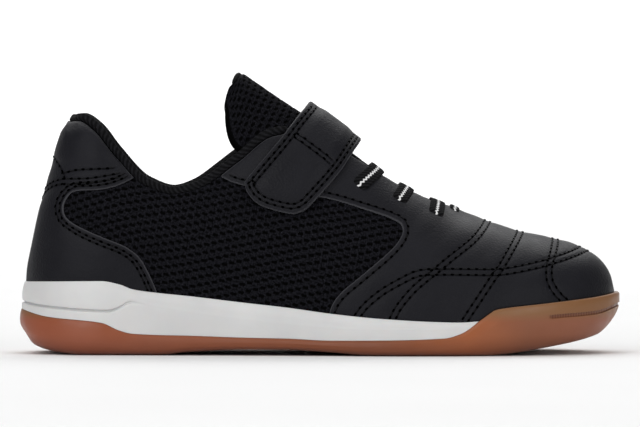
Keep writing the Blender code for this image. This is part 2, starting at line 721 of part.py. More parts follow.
def make_tongue():
    """Arched padded sheet, square to the instep line, swelling up through the throat."""
    s = np.linspace(0, TONGUE["s"][-1], TONGUE_STEPS)
    value = {name: along(TONGUE, name, s, key="s")[:, None] for name in TONGUE if name != "s"}
    slope = np.gradient(np.hstack([value["x"], value["z"]]), axis=0)
    slope /= np.linalg.norm(slope, axis=1, keepdims=True)
    inward = np.stack([-slope[:, 1], slope[:, 0]], axis=-1)
    turn = np.linspace(-1, 1, TONGUE_ROWS + 1)[None, :] * TONGUE_TURN
    across, sides = np.sin(turn) * value["half"], 1 - np.cos(turn)
    drop = value["drop"] * sides + value["swell"] * fade(np.abs(across), SWELL_START, value["throat"])
    x = value["x"] + drop * inward[:, :1] + value["lean"] * sides * slope[:, :1]
    z = value["z"] + drop * inward[:, 1:] + value["lean"] * sides * slope[:, 1:]
    y = along(PLAN, "centre", x) + across
    points = np.stack([x, y, z], axis=-1)
    made = add_object("tongue", points.reshape(-1, 3), grid_faces(*points.shape[:2], flip=True), MESH)
    thicken(made, TONGUE_THICK, -1)
    return made


def bridge_form(name, start, end, rise, reach, finish, thickness):
    """A band form over the throat: the arch carried over the opening, lifted off the panels, and raised
    within reach of the middle by what rise gives at each x."""
    x = np.linspace(start, end, BRIDGE_STEPS)
    angles = np.linspace(0, 1, BRIDGE_STEPS)
    halves = [half_section(x, bridge_top(x), side, angles) for side in ("lateral", "medial")]
    for half in halves:
        across = np.abs(half[..., 1] - along(PLAN, "centre", x)[:, None])
        half[..., 2] += rise(x)[:, None] * (1 - np.minimum(across / reach(x)[:, None], 1) ** 2) ** 2
    made = add_object(name, *two_halves(*halves), finish)
    lift(made, BAND_LIFT)
    thicken(made, thickness, 1)
    return made


def make_strap():
    """Strap across the instep, lying on the eyestays and standing off the tongue."""
    rise = lambda x: along(STRAP_TOP, "z", x) - bridge_top(x) - (BAND_LIFT + STRAP_THICK) * STRAP_SLANT
    reach = lambda x: along(OPENING, "half", x) + np.where(rise(x) < 0, SAG_REACH, RISE_REACH)
    made = bridge_form("strap", *STRAP_SPAN, rise, reach, LEATHER, STRAP_THICK)
    cut(made, prism("strap_outline", np.column_stack([STRAP_EDGE["x"], STRAP_EDGE["z"]])), "INTERSECT")
    return made


def make_laces():
    """Flat bars of elastic lace from eyestay to eyestay, clear of the tongue."""
    for number, row in enumerate(zip(*LACES.values()), start=1):
        low, top = np.array(row[:2]), np.array(row[2:])
        up = (top - low) / np.linalg.norm(top - low)
        beside = np.array([up[1], -up[0]]) * LACE_WIDTH / 2
        high = top + up * LACE_OVER
        sag = lambda x: LACE_SAG * opening_half(x)
        reach = lambda x: np.maximum(opening_half(x) + SAG_REACH, LEAST_REACH)
        name = f"lace_bar_{number}"
        made = bridge_form(name, low[0] - LACE_SPAN[0], high[0] + LACE_SPAN[1], sag, reach, LACE, LACE_THICK)
        outline = [low - beside, low + beside, high + beside, high - beside]
        cut(made, prism(name + "_outline", outline), "INTERSECT")


def clear_scene():
    for old in list(bpy.data.objects):
        bpy.data.objects.remove(old)


def collection(name):
    made = bpy.data.collections.new(name)
    bpy.context.scene.collection.children.link(made)
    return made


clear_scene()
SHOE = collection("indoor court shoe")
CUTTERS = collection("cutters")
make_outsole()
make_midsole()
make_insole()
make_upper()
make_tongue()
make_vamp_overlay()
make_heel_counter()
make_collar_binding()
make_strap()
make_laces()
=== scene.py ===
# %% [markdown]
# # A child's indoor court shoe, right foot
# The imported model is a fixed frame: twelve plain solids, each where the real piece lies. This lesson
# dresses every one of them. The shoe is worked out in millimetres, x from the back of the heel, y from the
# outer (lateral) side at minus to the inner (medial) side at plus, and z from the floor, with the same
# short tables that shaped the solids. One function turns that into the frame's metres.

import bpy
import numpy as np
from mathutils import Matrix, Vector


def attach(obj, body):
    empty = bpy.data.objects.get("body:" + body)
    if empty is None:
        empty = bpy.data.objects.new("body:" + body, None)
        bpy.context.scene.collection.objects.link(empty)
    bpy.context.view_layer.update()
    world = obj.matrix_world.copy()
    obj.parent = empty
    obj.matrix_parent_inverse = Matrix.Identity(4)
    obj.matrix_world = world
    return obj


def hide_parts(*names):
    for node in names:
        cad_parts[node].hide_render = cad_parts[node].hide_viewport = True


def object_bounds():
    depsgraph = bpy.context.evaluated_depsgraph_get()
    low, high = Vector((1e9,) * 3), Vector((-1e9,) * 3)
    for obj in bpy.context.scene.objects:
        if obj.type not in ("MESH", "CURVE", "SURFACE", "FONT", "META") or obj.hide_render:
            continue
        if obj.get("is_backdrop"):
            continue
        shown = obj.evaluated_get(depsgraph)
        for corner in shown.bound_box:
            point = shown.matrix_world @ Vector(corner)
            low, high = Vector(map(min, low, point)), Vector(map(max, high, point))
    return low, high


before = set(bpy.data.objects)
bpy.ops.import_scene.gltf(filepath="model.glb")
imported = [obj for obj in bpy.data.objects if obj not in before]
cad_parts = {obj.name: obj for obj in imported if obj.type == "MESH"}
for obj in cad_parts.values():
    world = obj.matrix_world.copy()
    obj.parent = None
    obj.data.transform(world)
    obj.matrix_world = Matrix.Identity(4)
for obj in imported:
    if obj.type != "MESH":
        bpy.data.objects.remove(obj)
solid_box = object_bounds()
print("solids:", sorted(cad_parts))

# %% [markdown]
# ## Camera
# The photograph is a plain side view of the lateral side, taken from far away with a long lens, a touch
# above the shoe. A long lens 2.5 m away keeps the two ends of the shoe at one scale, which a short lens
# close by would not. The view's width is worked out from the shoe's length and its share of the picture.

# %% Place the camera
MM = 0.001
LENGTH = 205.0
CAMERA_DISTANCE = 2.5
CAMERA_RISE = np.radians(1.0)
VIEW_WIDTH = 640 * LENGTH / 600 * MM  # the shoe spans 600 of the picture's 640 pixels
VIEW_MIDDLE_Z = 47.5 * MM
SENSOR = 36.0

lens = bpy.data.cameras.new("camera")
lens.sensor_width = SENSOR
lens.lens = SENSOR * CAMERA_DISTANCE / VIEW_WIDTH
camera = bpy.data.objects.new("camera", lens)
bpy.context.scene.collection.objects.link(camera)
camera.location = (
    0,
    -CAMERA_DISTANCE * np.cos(CAMERA_RISE),
    VIEW_MIDDLE_Z + CAMERA_DISTANCE * np.sin(CAMERA_RISE),
)
camera.rotation_euler = (np.pi / 2 - CAMERA_RISE, 0, 0)
bpy.context.scene.camera = camera
print(f"camera: {lens.lens:.0f} mm lens, view {VIEW_WIDTH / MM:.1f} mm wide")

# %% [markdown]
# ## The last in short tables
# A shoe is built on a last. Its plan, its side outline and the roundness of its cross-sections are a few
# rows each, and a curve that never overshoots runs through the rows.

# %% Tables of the last
FLARE = 3.2  # how far the sole stands out from the upper
CLEARANCE = 0.3
WALL = 2.0
PANEL = 0.8
HEEL_END = FLARE
TOE_END = LENGTH - FLARE


def table(columns, *rows):
    """Rows of numbers under named columns."""
    return dict(zip(columns.split(), np.array(rows, float).T))


PLAN = table(
    "x centre lateral medial",
    (3.2, 0.0, 26.0, 26.0),
    (32.0, 0.0, 26.0, 26.0),
    (60.0, -1.2, 26.3, 26.3),
    (85.0, -2.6, 27.3, 27.3),
    (110.0, -3.0, 30.4, 30.2),
    (130.0, -1.4, 34.6, 34.0),
    (150.0, 1.0, 36.6, 34.4),
    (170.0, 3.5, 37.5, 33.0),
    (201.8, 5.5, 36.5, 32.0),
)
BASE = table(
    "x widest floor round",
    (3.2, 24.1, 16.0, 2.5),
    (30.0, 24.0, 15.5, 2.5),
    (60.0, 19.5, 13.5, 2.4),
    (90.0, 15.8, 10.5, 2.3),
    (120.0, 12.0, 8.0, 2.1),
    (150.0, 11.0, 7.5, 2.05),
    (170.0, 13.5, 8.6, 2.2),
    (190.0, 18.0, 11.2, 2.3),
    (201.8, 20.8, 13.6, 2.3),
)
HEEL_BACK = table(
    "z x",
    (24.1, 3.2),
    (28.9, 3.5),
    (37.4, 5.2),
    (45.6, 6.8),
    (53.1, 8.5),
    (68.0, 13.4),
    (75.0, 15.9),
    (78.5, 17.4),
)
OPENING = table(
    "x z half",
    (17.4, 78.5, 19.0),
    (21.0, 78.9, 19.0),
    (25.3, 76.3, 19.0),
    (32.2, 67.9, 19.2),
    (42.8, 57.3, 20.0),
    (52.6, 54.0, 20.5),
    (60.2, 55.4, 20.5),
    (75.0, 65.2, 19.0),
    (86.5, 73.8, 17.5),
    (96.0, 75.2, 16.0),
    (114.5, 66.0, 13.0),
    (129.8, 56.2, 11.0),
    (147.0, 48.8, 9.5),
)
VAMP = table(
    "x z",
    (147.0, 48.8),
    (151.0, 47.2),
    (159.2, 44.2),
    (169.7, 40.5),
    (181.9, 38.1),
    (187.5, 36.6),
    (193.5, 34.2),
    (198.4, 30.0),
    (200.6, 26.0),
    (201.8, 20.8),
)
END_ROUNDNESS = 2.35
HEEL_ROUND, TOE_ROUND = 30.0, 50.0
OPENING_BACK_ROUND, OPENING_FRONT_ROUND = 17.0, 11.0
OPENING_BACK, OPENING_FRONT = OPENING["x"][[0, -1]]


def along(rows, column, at, key="x"):
    """A smooth curve through a table's rows: each stretch is a cubic, with the tangent at a row the
    harmonic mean of the slopes beside it, or 0 at a peak, so that it never overshoots."""
    places, values = rows[key], rows[column]
    steps = np.diff(places)
    slopes = np.diff(values) / steps
    product = slopes[1:] * slopes[:-1]
    total = np.where(product > 0, slopes[1:] + slopes[:-1], 1.0)
    tangents = np.concatenate([slopes[:1], np.where(product > 0, 2 * product / total, 0.0), slopes[-1:]])
    at = np.clip(at, places[0], places[-1])
    k = np.clip(np.searchsorted(places, at, side="right") - 1, 0, len(steps) - 1)
    t = (at - places[k]) / steps[k]
    start = values[k] * (1 + 2 * t) + tangents[k] * steps[k] * t
    end = values[k + 1] * (3 - 2 * t) - tangents[k + 1] * steps[k] * (1 - t)
    return start * (1 - t) ** 2 + end * t**2


def rounded(distance, length, power):
    """Grows from 0 at an end to 1 at a length from it, as an oval of that power does."""
    left = 1 - np.clip(distance / length, 0, 1)
    return (1 - left**power) ** (1 / power)


def fade(at, start, end):
    """0 before start, 1 after end, smooth between: t squared times 3 minus 2t."""
    t = np.clip((at - start) / (end - start), 0, 1)
    return t * t * (3 - 2 * t)


def hump(at, rise, fall):
    """0 at first, 1 after the rise and 0 again after the fall, each given by its start and end."""
    return fade(at, *rise) * (1 - fade(at, *fall))


def half_width(x, side):
    """Half-width in plan: the table's, rounded off at heel and toe."""
    heel = rounded(x - HEEL_END, HEEL_ROUND, END_ROUNDNESS)
    toe = rounded(TOE_END - x, TOE_ROUND, END_ROUNDNESS)
    return along(PLAN, side, x) * heel * toe


def opening_half(x):
    """Half-width of the collar and throat, rounded off behind and in front."""
    back = rounded(x - OPENING_BACK, OPENING_BACK_ROUND, 2)
    front = rounded(OPENING_FRONT - x, OPENING_FRONT_ROUND, 2)
    return along(OPENING, "half", x) * back * front


print(f"ball {2 * half_width(150.0, 'medial'):.0f} mm wide, heel {2 * half_width(32.0, 'medial'):.0f} mm")

# %% [markdown]
# ## The last as one grid
# The upper, the panels, the strap, the laces and the stitches all lie on the last, so it is worked out
# once, as a grid of points: a row of cross-sections from heel to toe, each an arch from the lateral sole
# edge over the top to the medial one, carried on over the opening. Tables leave faint creases where one
# rule takes over from the next, at the heel's top and at the throat's front. Rounds of relaxing, in which
# a point moves towards the mean of its neighbours, iron them out as a last maker's rasp does. In front of
# the ankle the inner collar stands a little higher than the outer one, so both edges show from the side.

# %% Work out the grid of the last
ARCH_ROWS = 88  # from a sole edge to the top
SKIRT_ROWS = 8
SKIRT_REACH = 0.25  # of the arch's own measure, below the widest line
SKIRT_DROP = 40.0  # millimetres for a whole measure
STATION_STEP = 0.6
HEEL_STATIONS, TOE_STATIONS = 84, 130
HEEL_CROWDING = 1.6  # a power above 1 sets the heel's stations closer together near the sole
NARROWEST = 0.97  # the opening's greatest share of the width

heel_up = np.linspace(0, 1, HEEL_STATIONS, endpoint=False) ** HEEL_CROWDING
heel_z = HEEL_BACK["z"][0] + heel_up * np.ptp(HEEL_BACK["z"])
toe_turn = np.linspace(0, np.pi / 2, TOE_STATIONS)
toe_x = VAMP["x"][0] + np.sin(toe_turn) * np.ptp(VAMP["x"])
open_x = np.arange(OPENING_BACK, OPENING_FRONT, STATION_STEP)
station_x = np.concatenate([along(HEEL_BACK, "x", heel_z, key="z"), open_x, toe_x])
closed_ridge = np.concatenate([heel_z, np.full(len(open_x), np.nan), along(VAMP, "z", toe_x)])

skirt = np.linspace(1 + SKIRT_REACH, 1, SKIRT_ROWS, endpoint=False)
arch_row = np.concatenate([-skirt, np.linspace(-1, 1, 2 * ARCH_ROWS + 1), skirt[::-1]])


def open_share(x):
    """Share of the arch's height where the wall ends: the arch's own oval at the opening's half-width."""
    mean = (half_width(x, "lateral") + half_width(x, "medial")) / 2
    power = along(BASE, "round", x)
    return (1 - np.minimum(opening_half(x) / np.maximum(mean, 1e-6), NARROWEST) ** power) ** (1 / power)


def edge_row(x):
    """The row where the wall ends at each x, from 0 at the top of the arch to 1 at the widest line."""
    power = along(BASE, "round", x)
    return 1 - np.arcsin(open_share(x) ** (power / 2)) / (np.pi / 2)


def arch_points(x, ridge, row):
    """Arches as ovals of their own power: y is the half-width times cos to 2/power, z is the height times
    sin to 2/power. Below the widest line the wall goes straight down."""
    widest, power = along(BASE, "widest", x)[:, None], along(BASE, "round", x)[:, None]
    carried = (along(OPENING, "z", x) - widest[:, 0]) / open_share(x)
    height = np.where(np.isnan(ridge), carried, ridge - widest[:, 0])[:, None]
    turn = (1 - np.minimum(np.abs(row), 1)) * np.pi / 2
    width = np.where(row < 0, half_width(x, "lateral")[:, None], half_width(x, "medial")[:, None])
    y = along(PLAN, "centre", x)[:, None] + np.sign(row) * width * np.cos(turn).clip(0) ** (2 / power)
    z = widest + height * np.sin(turn) ** (2 / power) - SKIRT_DROP * np.maximum(np.abs(row) - 1, 0)
    return np.stack(np.broadcast_arrays(x[:, None], y, z), axis=-1)


def relax(grid, share, rounds):
    """Move each inner point a share of the way to the mean of its four neighbours, round after round."""
    for _ in range(rounds):
        mean = (grid[:-2, 1:-1] + grid[2:, 1:-1] + grid[1:-1, :-2] + grid[1:-1, 2:]) / 4
        grid[1:-1, 1:-1] += share[1:-1, 1:-1, None] * (mean - grid[1:-1, 1:-1])
    return grid


# %% Raise the inner collar and iron out the creases
INNER_COLLAR_RISE = 1.7
INNER_COLLAR = (52, 68), (80, 94)  # where the rise comes and goes along the shoe
INNER_WALL = (0.05, 0.35), (0.6, 0.95)  # and across it, in rows
IRONED_VAMP = (116, 132), (197, 201)
IRONED_HEEL = (3.3, 4.5), (20, 30)
HEEL_TAB_Z = (66, 74)  # the tab stays as it is
SOLE_EDGE_ROWS = (0.9, 0.98)  # and so do the rows beside the sole
IRON_SHARE, IRON_ROUNDS = 0.6, 160

last = arch_points(station_x, closed_ridge, arch_row)
last[..., 2] += INNER_COLLAR_RISE * hump(station_x, *INNER_COLLAR)[:, None] * hump(arch_row, *INNER_WALL)
heel_share = hump(station_x, *IRONED_HEEL)[:, None] * (1 - fade(last[..., 2], *HEEL_TAB_Z))
ironed = (1 - fade(np.abs(arch_row), *SOLE_EDGE_ROWS)) * (hump(station_x, *IRONED_VAMP)[:, None] + heel_share)
last = relax(last, IRON_SHARE * ironed, IRON_ROUNDS)
print("last:", last.shape[:2], "points, top", last[..., 2].max().round(1), "mm over the carried opening")

# %% [markdown]
# ## Places on the last
# A place is a pair of grid numbers that need not be whole: how far along, and how far across. Values
# between grid points are the mean of the four corners weighted by nearness, so a point, the direction out
# of the leather and any measure can be read anywhere. A line drawn on the side view is laid on the shoe by
# finding, in the arch at its x, the row that has its height.

# %% Read points and normals anywhere on the last
SIDES = {"lateral": -1, "medial": 1}
MIDDLE = SKIRT_ROWS + ARCH_ROWS  # number of the row along the top


def unit(vectors):
    """Vectors divided by their length."""
    return vectors / np.maximum(np.linalg.norm(vectors, axis=-1, keepdims=True), 1e-9)


def grid_normals(grid):
    """Outward directions: the step along the shoe crossed with the step across it."""
    return unit(np.cross(np.gradient(grid, axis=0), np.gradient(grid, axis=1)))


last_normals = grid_normals(last)
last_normals[0], last_normals[-1] = (-1, 0, 0), (1, 0, 0)


def between(field, i, j):
    """A grid's value at places that aren't whole numbers: the corners' mean, weighted by nearness."""
    low_i = np.clip(np.floor(i).astype(int), 0, field.shape[0] - 2)
    low_j = np.clip(np.floor(j).astype(int), 0, field.shape[1] - 2)
    extra = (1,) * (field.ndim - 2)
    s, t = (i - low_i).reshape(*i.shape, *extra), (j - low_j).reshape(*j.shape, *extra)
    near = field[low_i, low_j] * (1 - t) + field[low_i, low_j + 1] * t
    far = field[low_i + 1, low_j] * (1 - t) + field[low_i + 1, low_j + 1] * t
    return near * (1 - s) + far * s


def station_of(x):
    """Grid number along the shoe."""
    return np.interp(x, station_x, np.arange(len(station_x)))


def row_number(row):
    """Grid number across the shoe, from a row between -1 and 1 or a little past."""
    return np.interp(row, arch_row, np.arange(len(arch_row)))


def on_form(form, i, j, out=0.0):
    """Points at places on a form (its grid and normals), moved out along the normal by millimetres."""
    grid, normals = form
    out = np.broadcast_to(out, i.shape)[..., None]
    return between(grid, i, j) + unit(between(normals, i, j)) * out


def on_last(i, j, out=0.0):
    """Points at places on the last, moved out along the normal by millimetres."""
    return on_form((last, last_normals), i, j, out)


def side_place(x, z, side, grid=last):
    """Places of side-view points: in each arch, the number of rows still below the height, then the share
    of the next step."""
    i = station_of(x)
    count = np.arange(MIDDLE + 1)
    rows = count if side == "lateral" else 2 * MIDDLE - count
    heights = between(grid[..., 2], *np.broadcast_arrays(i[:, None], rows[None, :].astype(float)))
    below = np.clip((heights < z[:, None]).sum(axis=1) - 1, 0, MIDDLE - 1)
    first = np.take_along_axis(heights, below[:, None], axis=1)[:, 0]
    second = np.take_along_axis(heights, below[:, None] + 1, axis=1)[:, 0]
    step = below + np.clip((z - first) / np.maximum(second - first, 1e-9), 0, 1)
    return i, step if side == "lateral" else 2 * MIDDLE - step


def running(path):
    """Length along a path, or down each column of a grid, up to each of its points."""
    steps = np.linalg.norm(np.diff(path, axis=0), axis=-1)
    return np.concatenate([0 * steps[:1], np.cumsum(steps, axis=0)])


def read_along(run, at, values):
    """Columns of values at points of a path, read at other lengths along it."""
    return np.column_stack([np.interp(at, run, column) for column in values.T])


SPLINE_STEPS = 24


def curve_through(points, spacing):
    """A side-view line through points, rounded by a spline (each stretch a cubic of the four points round
    it) and cut into even steps."""
    points = np.asarray(points, float)
    ends = np.concatenate([[2 * points[0] - points[1]], points, [2 * points[-1] - points[-2]]])
    before, start, end, after = (ends[k : len(ends) - 3 + k, None] for k in range(4))
    t = np.linspace(0, 1, SPLINE_STEPS, endpoint=False)[None, :, None]
    bend = (2 * before - 5 * start + 4 * end - after) * t**2 + (3 * start - before - 3 * end + after) * t**3
    line = (start + ((end - before) * t + bend) / 2).reshape(-1, points.shape[1])
    line = np.concatenate([line, points[-1:]])
    run = running(line)
    return read_along(run, np.linspace(0, run[-1], max(int(round(run[-1] / spacing)), 2) + 1), line)


check = on_last(*side_place(np.array([100.0]), np.array([40.0]), "lateral"))
print("a point of the side, 100 mm along and 40 up:", check.round(2))

# %% [markdown]
# ## From arrays to pieces
# Every piece below ends as an array of points and an array of four-cornered faces. Where a grid shrinks to
# a point, at the heel and the toe, corners fall together: they are welded, and such a face keeps three
# corners. A wall is an outer and an inner layer of the same faces, joined along the edges that only one
# face uses, so every piece is closed.

# %% Helpers that put arrays into meshes
def sole_loop(offset, x):
    """Closed loop round the shoe in plan: both half-widths at each x, pushed out square to the loop."""
    centre = along(PLAN, "centre", x)
    lateral = np.stack([x, centre - half_width(x, "lateral")], axis=-1)
    medial = np.stack([x, centre + half_width(x, "medial")], axis=-1)
    loop = np.concatenate([lateral, medial[-2:0:-1]])
    direction = unit(np.roll(loop, -1, axis=0) - np.roll(loop, 1, axis=0))
    return loop + offset * np.stack([direction[:, 1], -direction[:, 0]], axis=-1)


def side_places(count):
    """Places from heel to toe, closer together at both ends: half of 1 - cos along the length."""
    return HEEL_END + (TOE_END - HEEL_END) * (1 - np.cos(np.linspace(0, np.pi, count))) / 2


SOLID_PLACES = 27  # the solids' own steps, so that the sides come out the same
coarse_loop = sole_loop(FLARE, side_places(SOLID_PLACES))
SIDE_SHIFT = -(coarse_loop[:, 1].min() + coarse_loop[:, 1].max()) / 2


def to_frame(points):
    """Millimetres from heel and floor, to the frame's metres from under the middle of the shoe."""
    return (np.asarray(points, float) + (-LENGTH / 2, SIDE_SHIFT, 0)) * MM


def grid_quads(rows, columns, wrap=False):
    """Faces of a grid numbered row by row; wrap joins the last column to the first."""
    i, j = np.meshgrid(np.arange(rows - 1), np.arange(columns if wrap else columns - 1), indexing="ij")
    a, b = i * columns + j, i * columns + (j + 1) % columns
    return np.stack([a, a + columns, b + columns, b], axis=-1).reshape(-1, 4)


def weld(points, quads):
    """Make points that fall together one. Returns the points kept, the faces, and each kept point's old
    number. A face with two corners together keeps three, marked by -1, and a flatter one goes."""
    _, kept, index = np.unique(np.round(points, 3), axis=0, return_index=True, return_inverse=True)
    index = np.append(index.reshape(-1), -1)
    quads = index[quads]
    together = quads == np.roll(quads, -1, axis=1)
    crossed = (quads[:, 0] == quads[:, 2]) | (quads[:, 1] == quads[:, 3])
    whole = quads[~together.any(axis=1) & ~crossed]
    single = together.sum(axis=1) == 1
    corner_gone = [np.delete(quads, k, axis=1)[together[:, k] & single] for k in range(4)]
    threes = np.concatenate(corner_gone)
    threes = threes[(threes >= 0).all(axis=1)]
    return points[kept], np.concatenate([whole, np.insert(threes, 3, -1, axis=1)]), kept


def turned(quads):
    """The same faces, facing the other way."""
    back = quads[:, ::-1].copy()
    threes = back[:, 0] < 0
    back[threes] = np.roll(back[threes], -1, axis=1)
    return back


def open_edges(quads, count):
    """Edges, as (start, end), that only one face uses."""
    four = quads[:, 3] >= 0
    last_corner = np.where(four, quads[:, 3], quads[:, 2])
    starts = np.concatenate([quads[:, 0], quads[:, 1], quads[four, 2], last_corner])
    ends = np.concatenate([quads[:, 1], quads[:, 2], quads[four, 3], quads[:, 0]])
    alone = ~np.isin(starts * count + ends, ends * count + starts)
    return starts[alone], ends[alone]


def shell(outer, inner, quads):
    """(points, faces) of a wall: the outer layer, the inner one turned round, and strips along the edges."""
    count = len(outer)
    start, end = open_edges(quads, count)
    strip = np.stack([end, start, start + count, end + count], axis=-1)
    below = turned(np.where(quads >= 0, quads + count, -1))
    return np.concatenate([outer, inner]), np.concatenate([quads, below, strip])


def add_piece(name, points, quads, finish, slot, stands_for=(), uv=None, **values):
    """A smooth object on the shoe's one body, with a map in millimetres and named values for each point."""
    mesh = bpy.data.meshes.new(name)
    faces = [face[:3] if face[3] < 0 else face for face in quads.tolist()]
    mesh.from_pydata(to_frame(points).tolist(), [], faces)
    if uv is not None:
        corners = np.empty(len(mesh.loops), np.int32)
        mesh.loops.foreach_get("vertex_index", corners)
        mesh.uv_layers.new(name="map").data.foreach_set("uv", np.asarray(uv, np.float32)[corners].ravel())
    for label, value in values.items():
        mesh.attributes.new(label, "FLOAT", "POINT").data.foreach_set("value", np.asarray(value, np.float32))
    mesh.shade_smooth()
    mesh.materials.append(finish)
    piece = bpy.data.objects.new(name, mesh)
    bpy.context.scene.collection.objects.link(piece)
    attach(piece, "root")
    if stands_for:
        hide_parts(*stands_for)
    triangles = sum(len(face) - 2 for face in faces)
    print(f"{name}: {len(points)} points, {triangles} triangles")
    return piece


print(f"side shift {SIDE_SHIFT:.2f} mm")

# %% [markdown]
# ## Finishes
# Each finish is a node tree on the Principled shader. Colours are mixed by noise, by a value stored on the
# points (how near a cut edge, for a painted highlight; how deep in a hole or groove, for painted shade) or by
# the shoe's own length; grain and weave are bump.
# A colour or number that is the same all over is set on the shader itself.

# %% A short way to add nodes
def srgb(red, green, blue):
    """A screen colour of 0 to 255 as the shader's linear one: a straight foot, then a power of 2.4."""
    share = np.array([red, green, blue]) / 255
    linear = np.where(share <= 0.04045, share / 12.92, ((share + 0.055) / 1.055) ** 2.4)
    return (*linear.tolist(), 1.0)


def add_node(tree, kind, inputs=None, **settings):
    """A node with its settings, and its inputs linked where the value is a socket and set where it isn't."""
    node = tree.nodes.new("ShaderNode" + kind)
    for name, value in settings.items():
        setattr(node, name, value)
    for name, value in (inputs or {}).items():
        if isinstance(value, bpy.types.NodeSocket):
            tree.links.new(value, node.inputs[name])
        else:
            node.inputs[name].default_value = value
    return node


def new_finish(name, roughness, **sockets):
    """(material, tree, shader) with the shader's constant sockets set."""
    finish = bpy.data.materials.new(name)
    finish.use_nodes = True
    print("finish:", name)
    shader = finish.node_tree.nodes["Principled BSDF"]
    shader.inputs["Roughness"].default_value = roughness
    for label, value in sockets.items():
        shader.inputs[label.replace("_", " ")].default_value = value
    return finish, finish.node_tree, shader


def object_place(tree, scale=(1, 1, 1), turn=(0, 0, 0)):
    """The piece's own coordinates, in metres, scaled and turned."""
    place = add_node(tree, "TexCoord").outputs["Object"]
    return add_node(tree, "Mapping", {"Vector": place, "Scale": scale, "Rotation": turn}).outputs["Vector"]


def map_place(tree, scale=(1, 1, 1)):
    """The piece's own map, in millimetres, scaled."""
    place = add_node(tree, "UVMap", uv_map="map").outputs["UV"]
    return add_node(tree, "Mapping", {"Vector": place, "Scale": scale}).outputs["Vector"]


def stored(tree, name):
    """A value stored on the piece's points."""
    return add_node(tree, "Attribute", attribute_name=name).outputs["Fac"]


def wave(tree, place, scale, way="X", distortion=0.0):
    """Bands across a direction, from 0 to 1 and back."""
    inputs = {"Vector": place, "Scale": scale, "Distortion": distortion}
    return add_node(tree, "TexWave", inputs, bands_direction=way).outputs["Fac"]


def noise(tree, place, scale, detail=2.0):
    """Cloudy values round 0.5."""
    return add_node(tree, "TexNoise", {"Vector": place, "Scale": scale, "Detail": detail}).outputs["Fac"]


def ramp(tree, value, *stops):
    """Colours along a value: each stop is (place, colour)."""
    node = add_node(tree, "ValToRGB", {"Fac": value})
    while len(node.color_ramp.elements) < len(stops):
        node.color_ramp.elements.new(0.5)
    for element, (place, colour) in zip(node.color_ramp.elements, stops):
        element.position = place
        element.color = colour
    return node.outputs["Color"]


def remap(tree, value, low, high, start=0.0, end=1.0):
    """A value's range from start to end stretched to low and high."""
    inputs = {"Value": value, "From Min": start, "From Max": end, "To Min": low, "To Max": high}
    return add_node(tree, "MapRange", inputs).outputs["Result"]


def mix(tree, share, first, second):
    """Two colours mixed by a share."""
    inputs = {"Factor": share, "A": first, "B": second}
    return add_node(tree, "Mix", inputs, data_type="RGBA").outputs["Result"]


def link(tree, shader, **sockets):
    """Values into the shader's sockets, a socket's name written with _ for each space."""
    for label, value in sockets.items():
        tree.links.new(value, shader.inputs[label.replace("_", " ")])


def bump(tree, shader, *layers):
    """Layers of (height, strength, depth in millimetres), one over the other, into the shader's normal."""
    normal = None
    for height, strength, depth in layers:
        inputs = {"Height": height, "Strength": strength, "Distance": depth * MM}
        if normal is not None:
            inputs["Normal"] = normal
        normal = add_node(tree, "Bump", inputs).outputs["Normal"]
    link(tree, shader, Normal=normal)


print("helpers for finishes are ready")

# %% [markdown]
# ## The bootee and its lining
# Inside the panels the real upper is a mesh bootee with a padded, lined collar. It is made in two halves,
# each a grid from the hem in the sole up to the edge of the opening, with a wall on its inside. The wall
# swells near the collar, where the padding is. A solid with a modifier could give an even wall only.

# %% Finish of the lining
def make_lining_finish():
    """Black fabric: crossed ribs of a fine weave on the map, a little sheen, clouds in the black."""
    finish, tree, shader = new_finish("black lining", 0.9, Sheen_Weight=0.3, Sheen_Roughness=0.5)
    clouds = noise(tree, object_place(tree), 90.0)
    black = ramp(tree, clouds, (0.3, srgb(15, 15, 17)), (0.7, srgb(24, 24, 27)))
    link(tree, shader, Base_Color=black)
    place = map_place(tree)
    bump(tree, shader, *((wave(tree, place, 0.42, way), 0.25, 0.15) for way in "XY"))
    return finish


# %% Make the bootee
HEM_ROW = 1.2
OUTER_INSET = 0.55  # the mesh and the panels lie over the bootee's own face
COLLAR_PAD = 2.2
PAD_AT_EDGE, PAD_FULL = 0.35, 5.0  # share of the padding at the edge, and how far down it is full
PAD_FADE = (9, 26)  # below the edge
PAD_FRONT = (78, 100)  # towards the throat
WALL_ROWS = 44
wall_stations = np.unique(np.concatenate([np.arange(0, len(station_x), 3), [len(station_x) - 1]]))


def wall_places(side):
    """(i, j, millimetres below the opening's edge) for a half: even steps from hem to edge."""
    x = station_x[wall_stations]
    edge = edge_row(x)[:, None]
    row = HEM_ROW + (edge - HEM_ROW) * np.linspace(0, 1, WALL_ROWS)[None, :]
    i = np.broadcast_to(wall_stations[:, None].astype(float), row.shape)
    j = row_number(SIDES[side] * row)
    return i, j, running(on_last(i, j)[:, ::-1].swapaxes(0, 1)).T[:, ::-1]


def collar_pad(x, below):
    """Swelling of the padding: rises under the edge, fades further down and towards the throat."""
    swell = PAD_AT_EDGE + (1 - PAD_AT_EDGE) * fade(below, 0, PAD_FULL)
    return COLLAR_PAD * swell * (1 - fade(below, *PAD_FADE)) * (1 - fade(x, *PAD_FRONT))


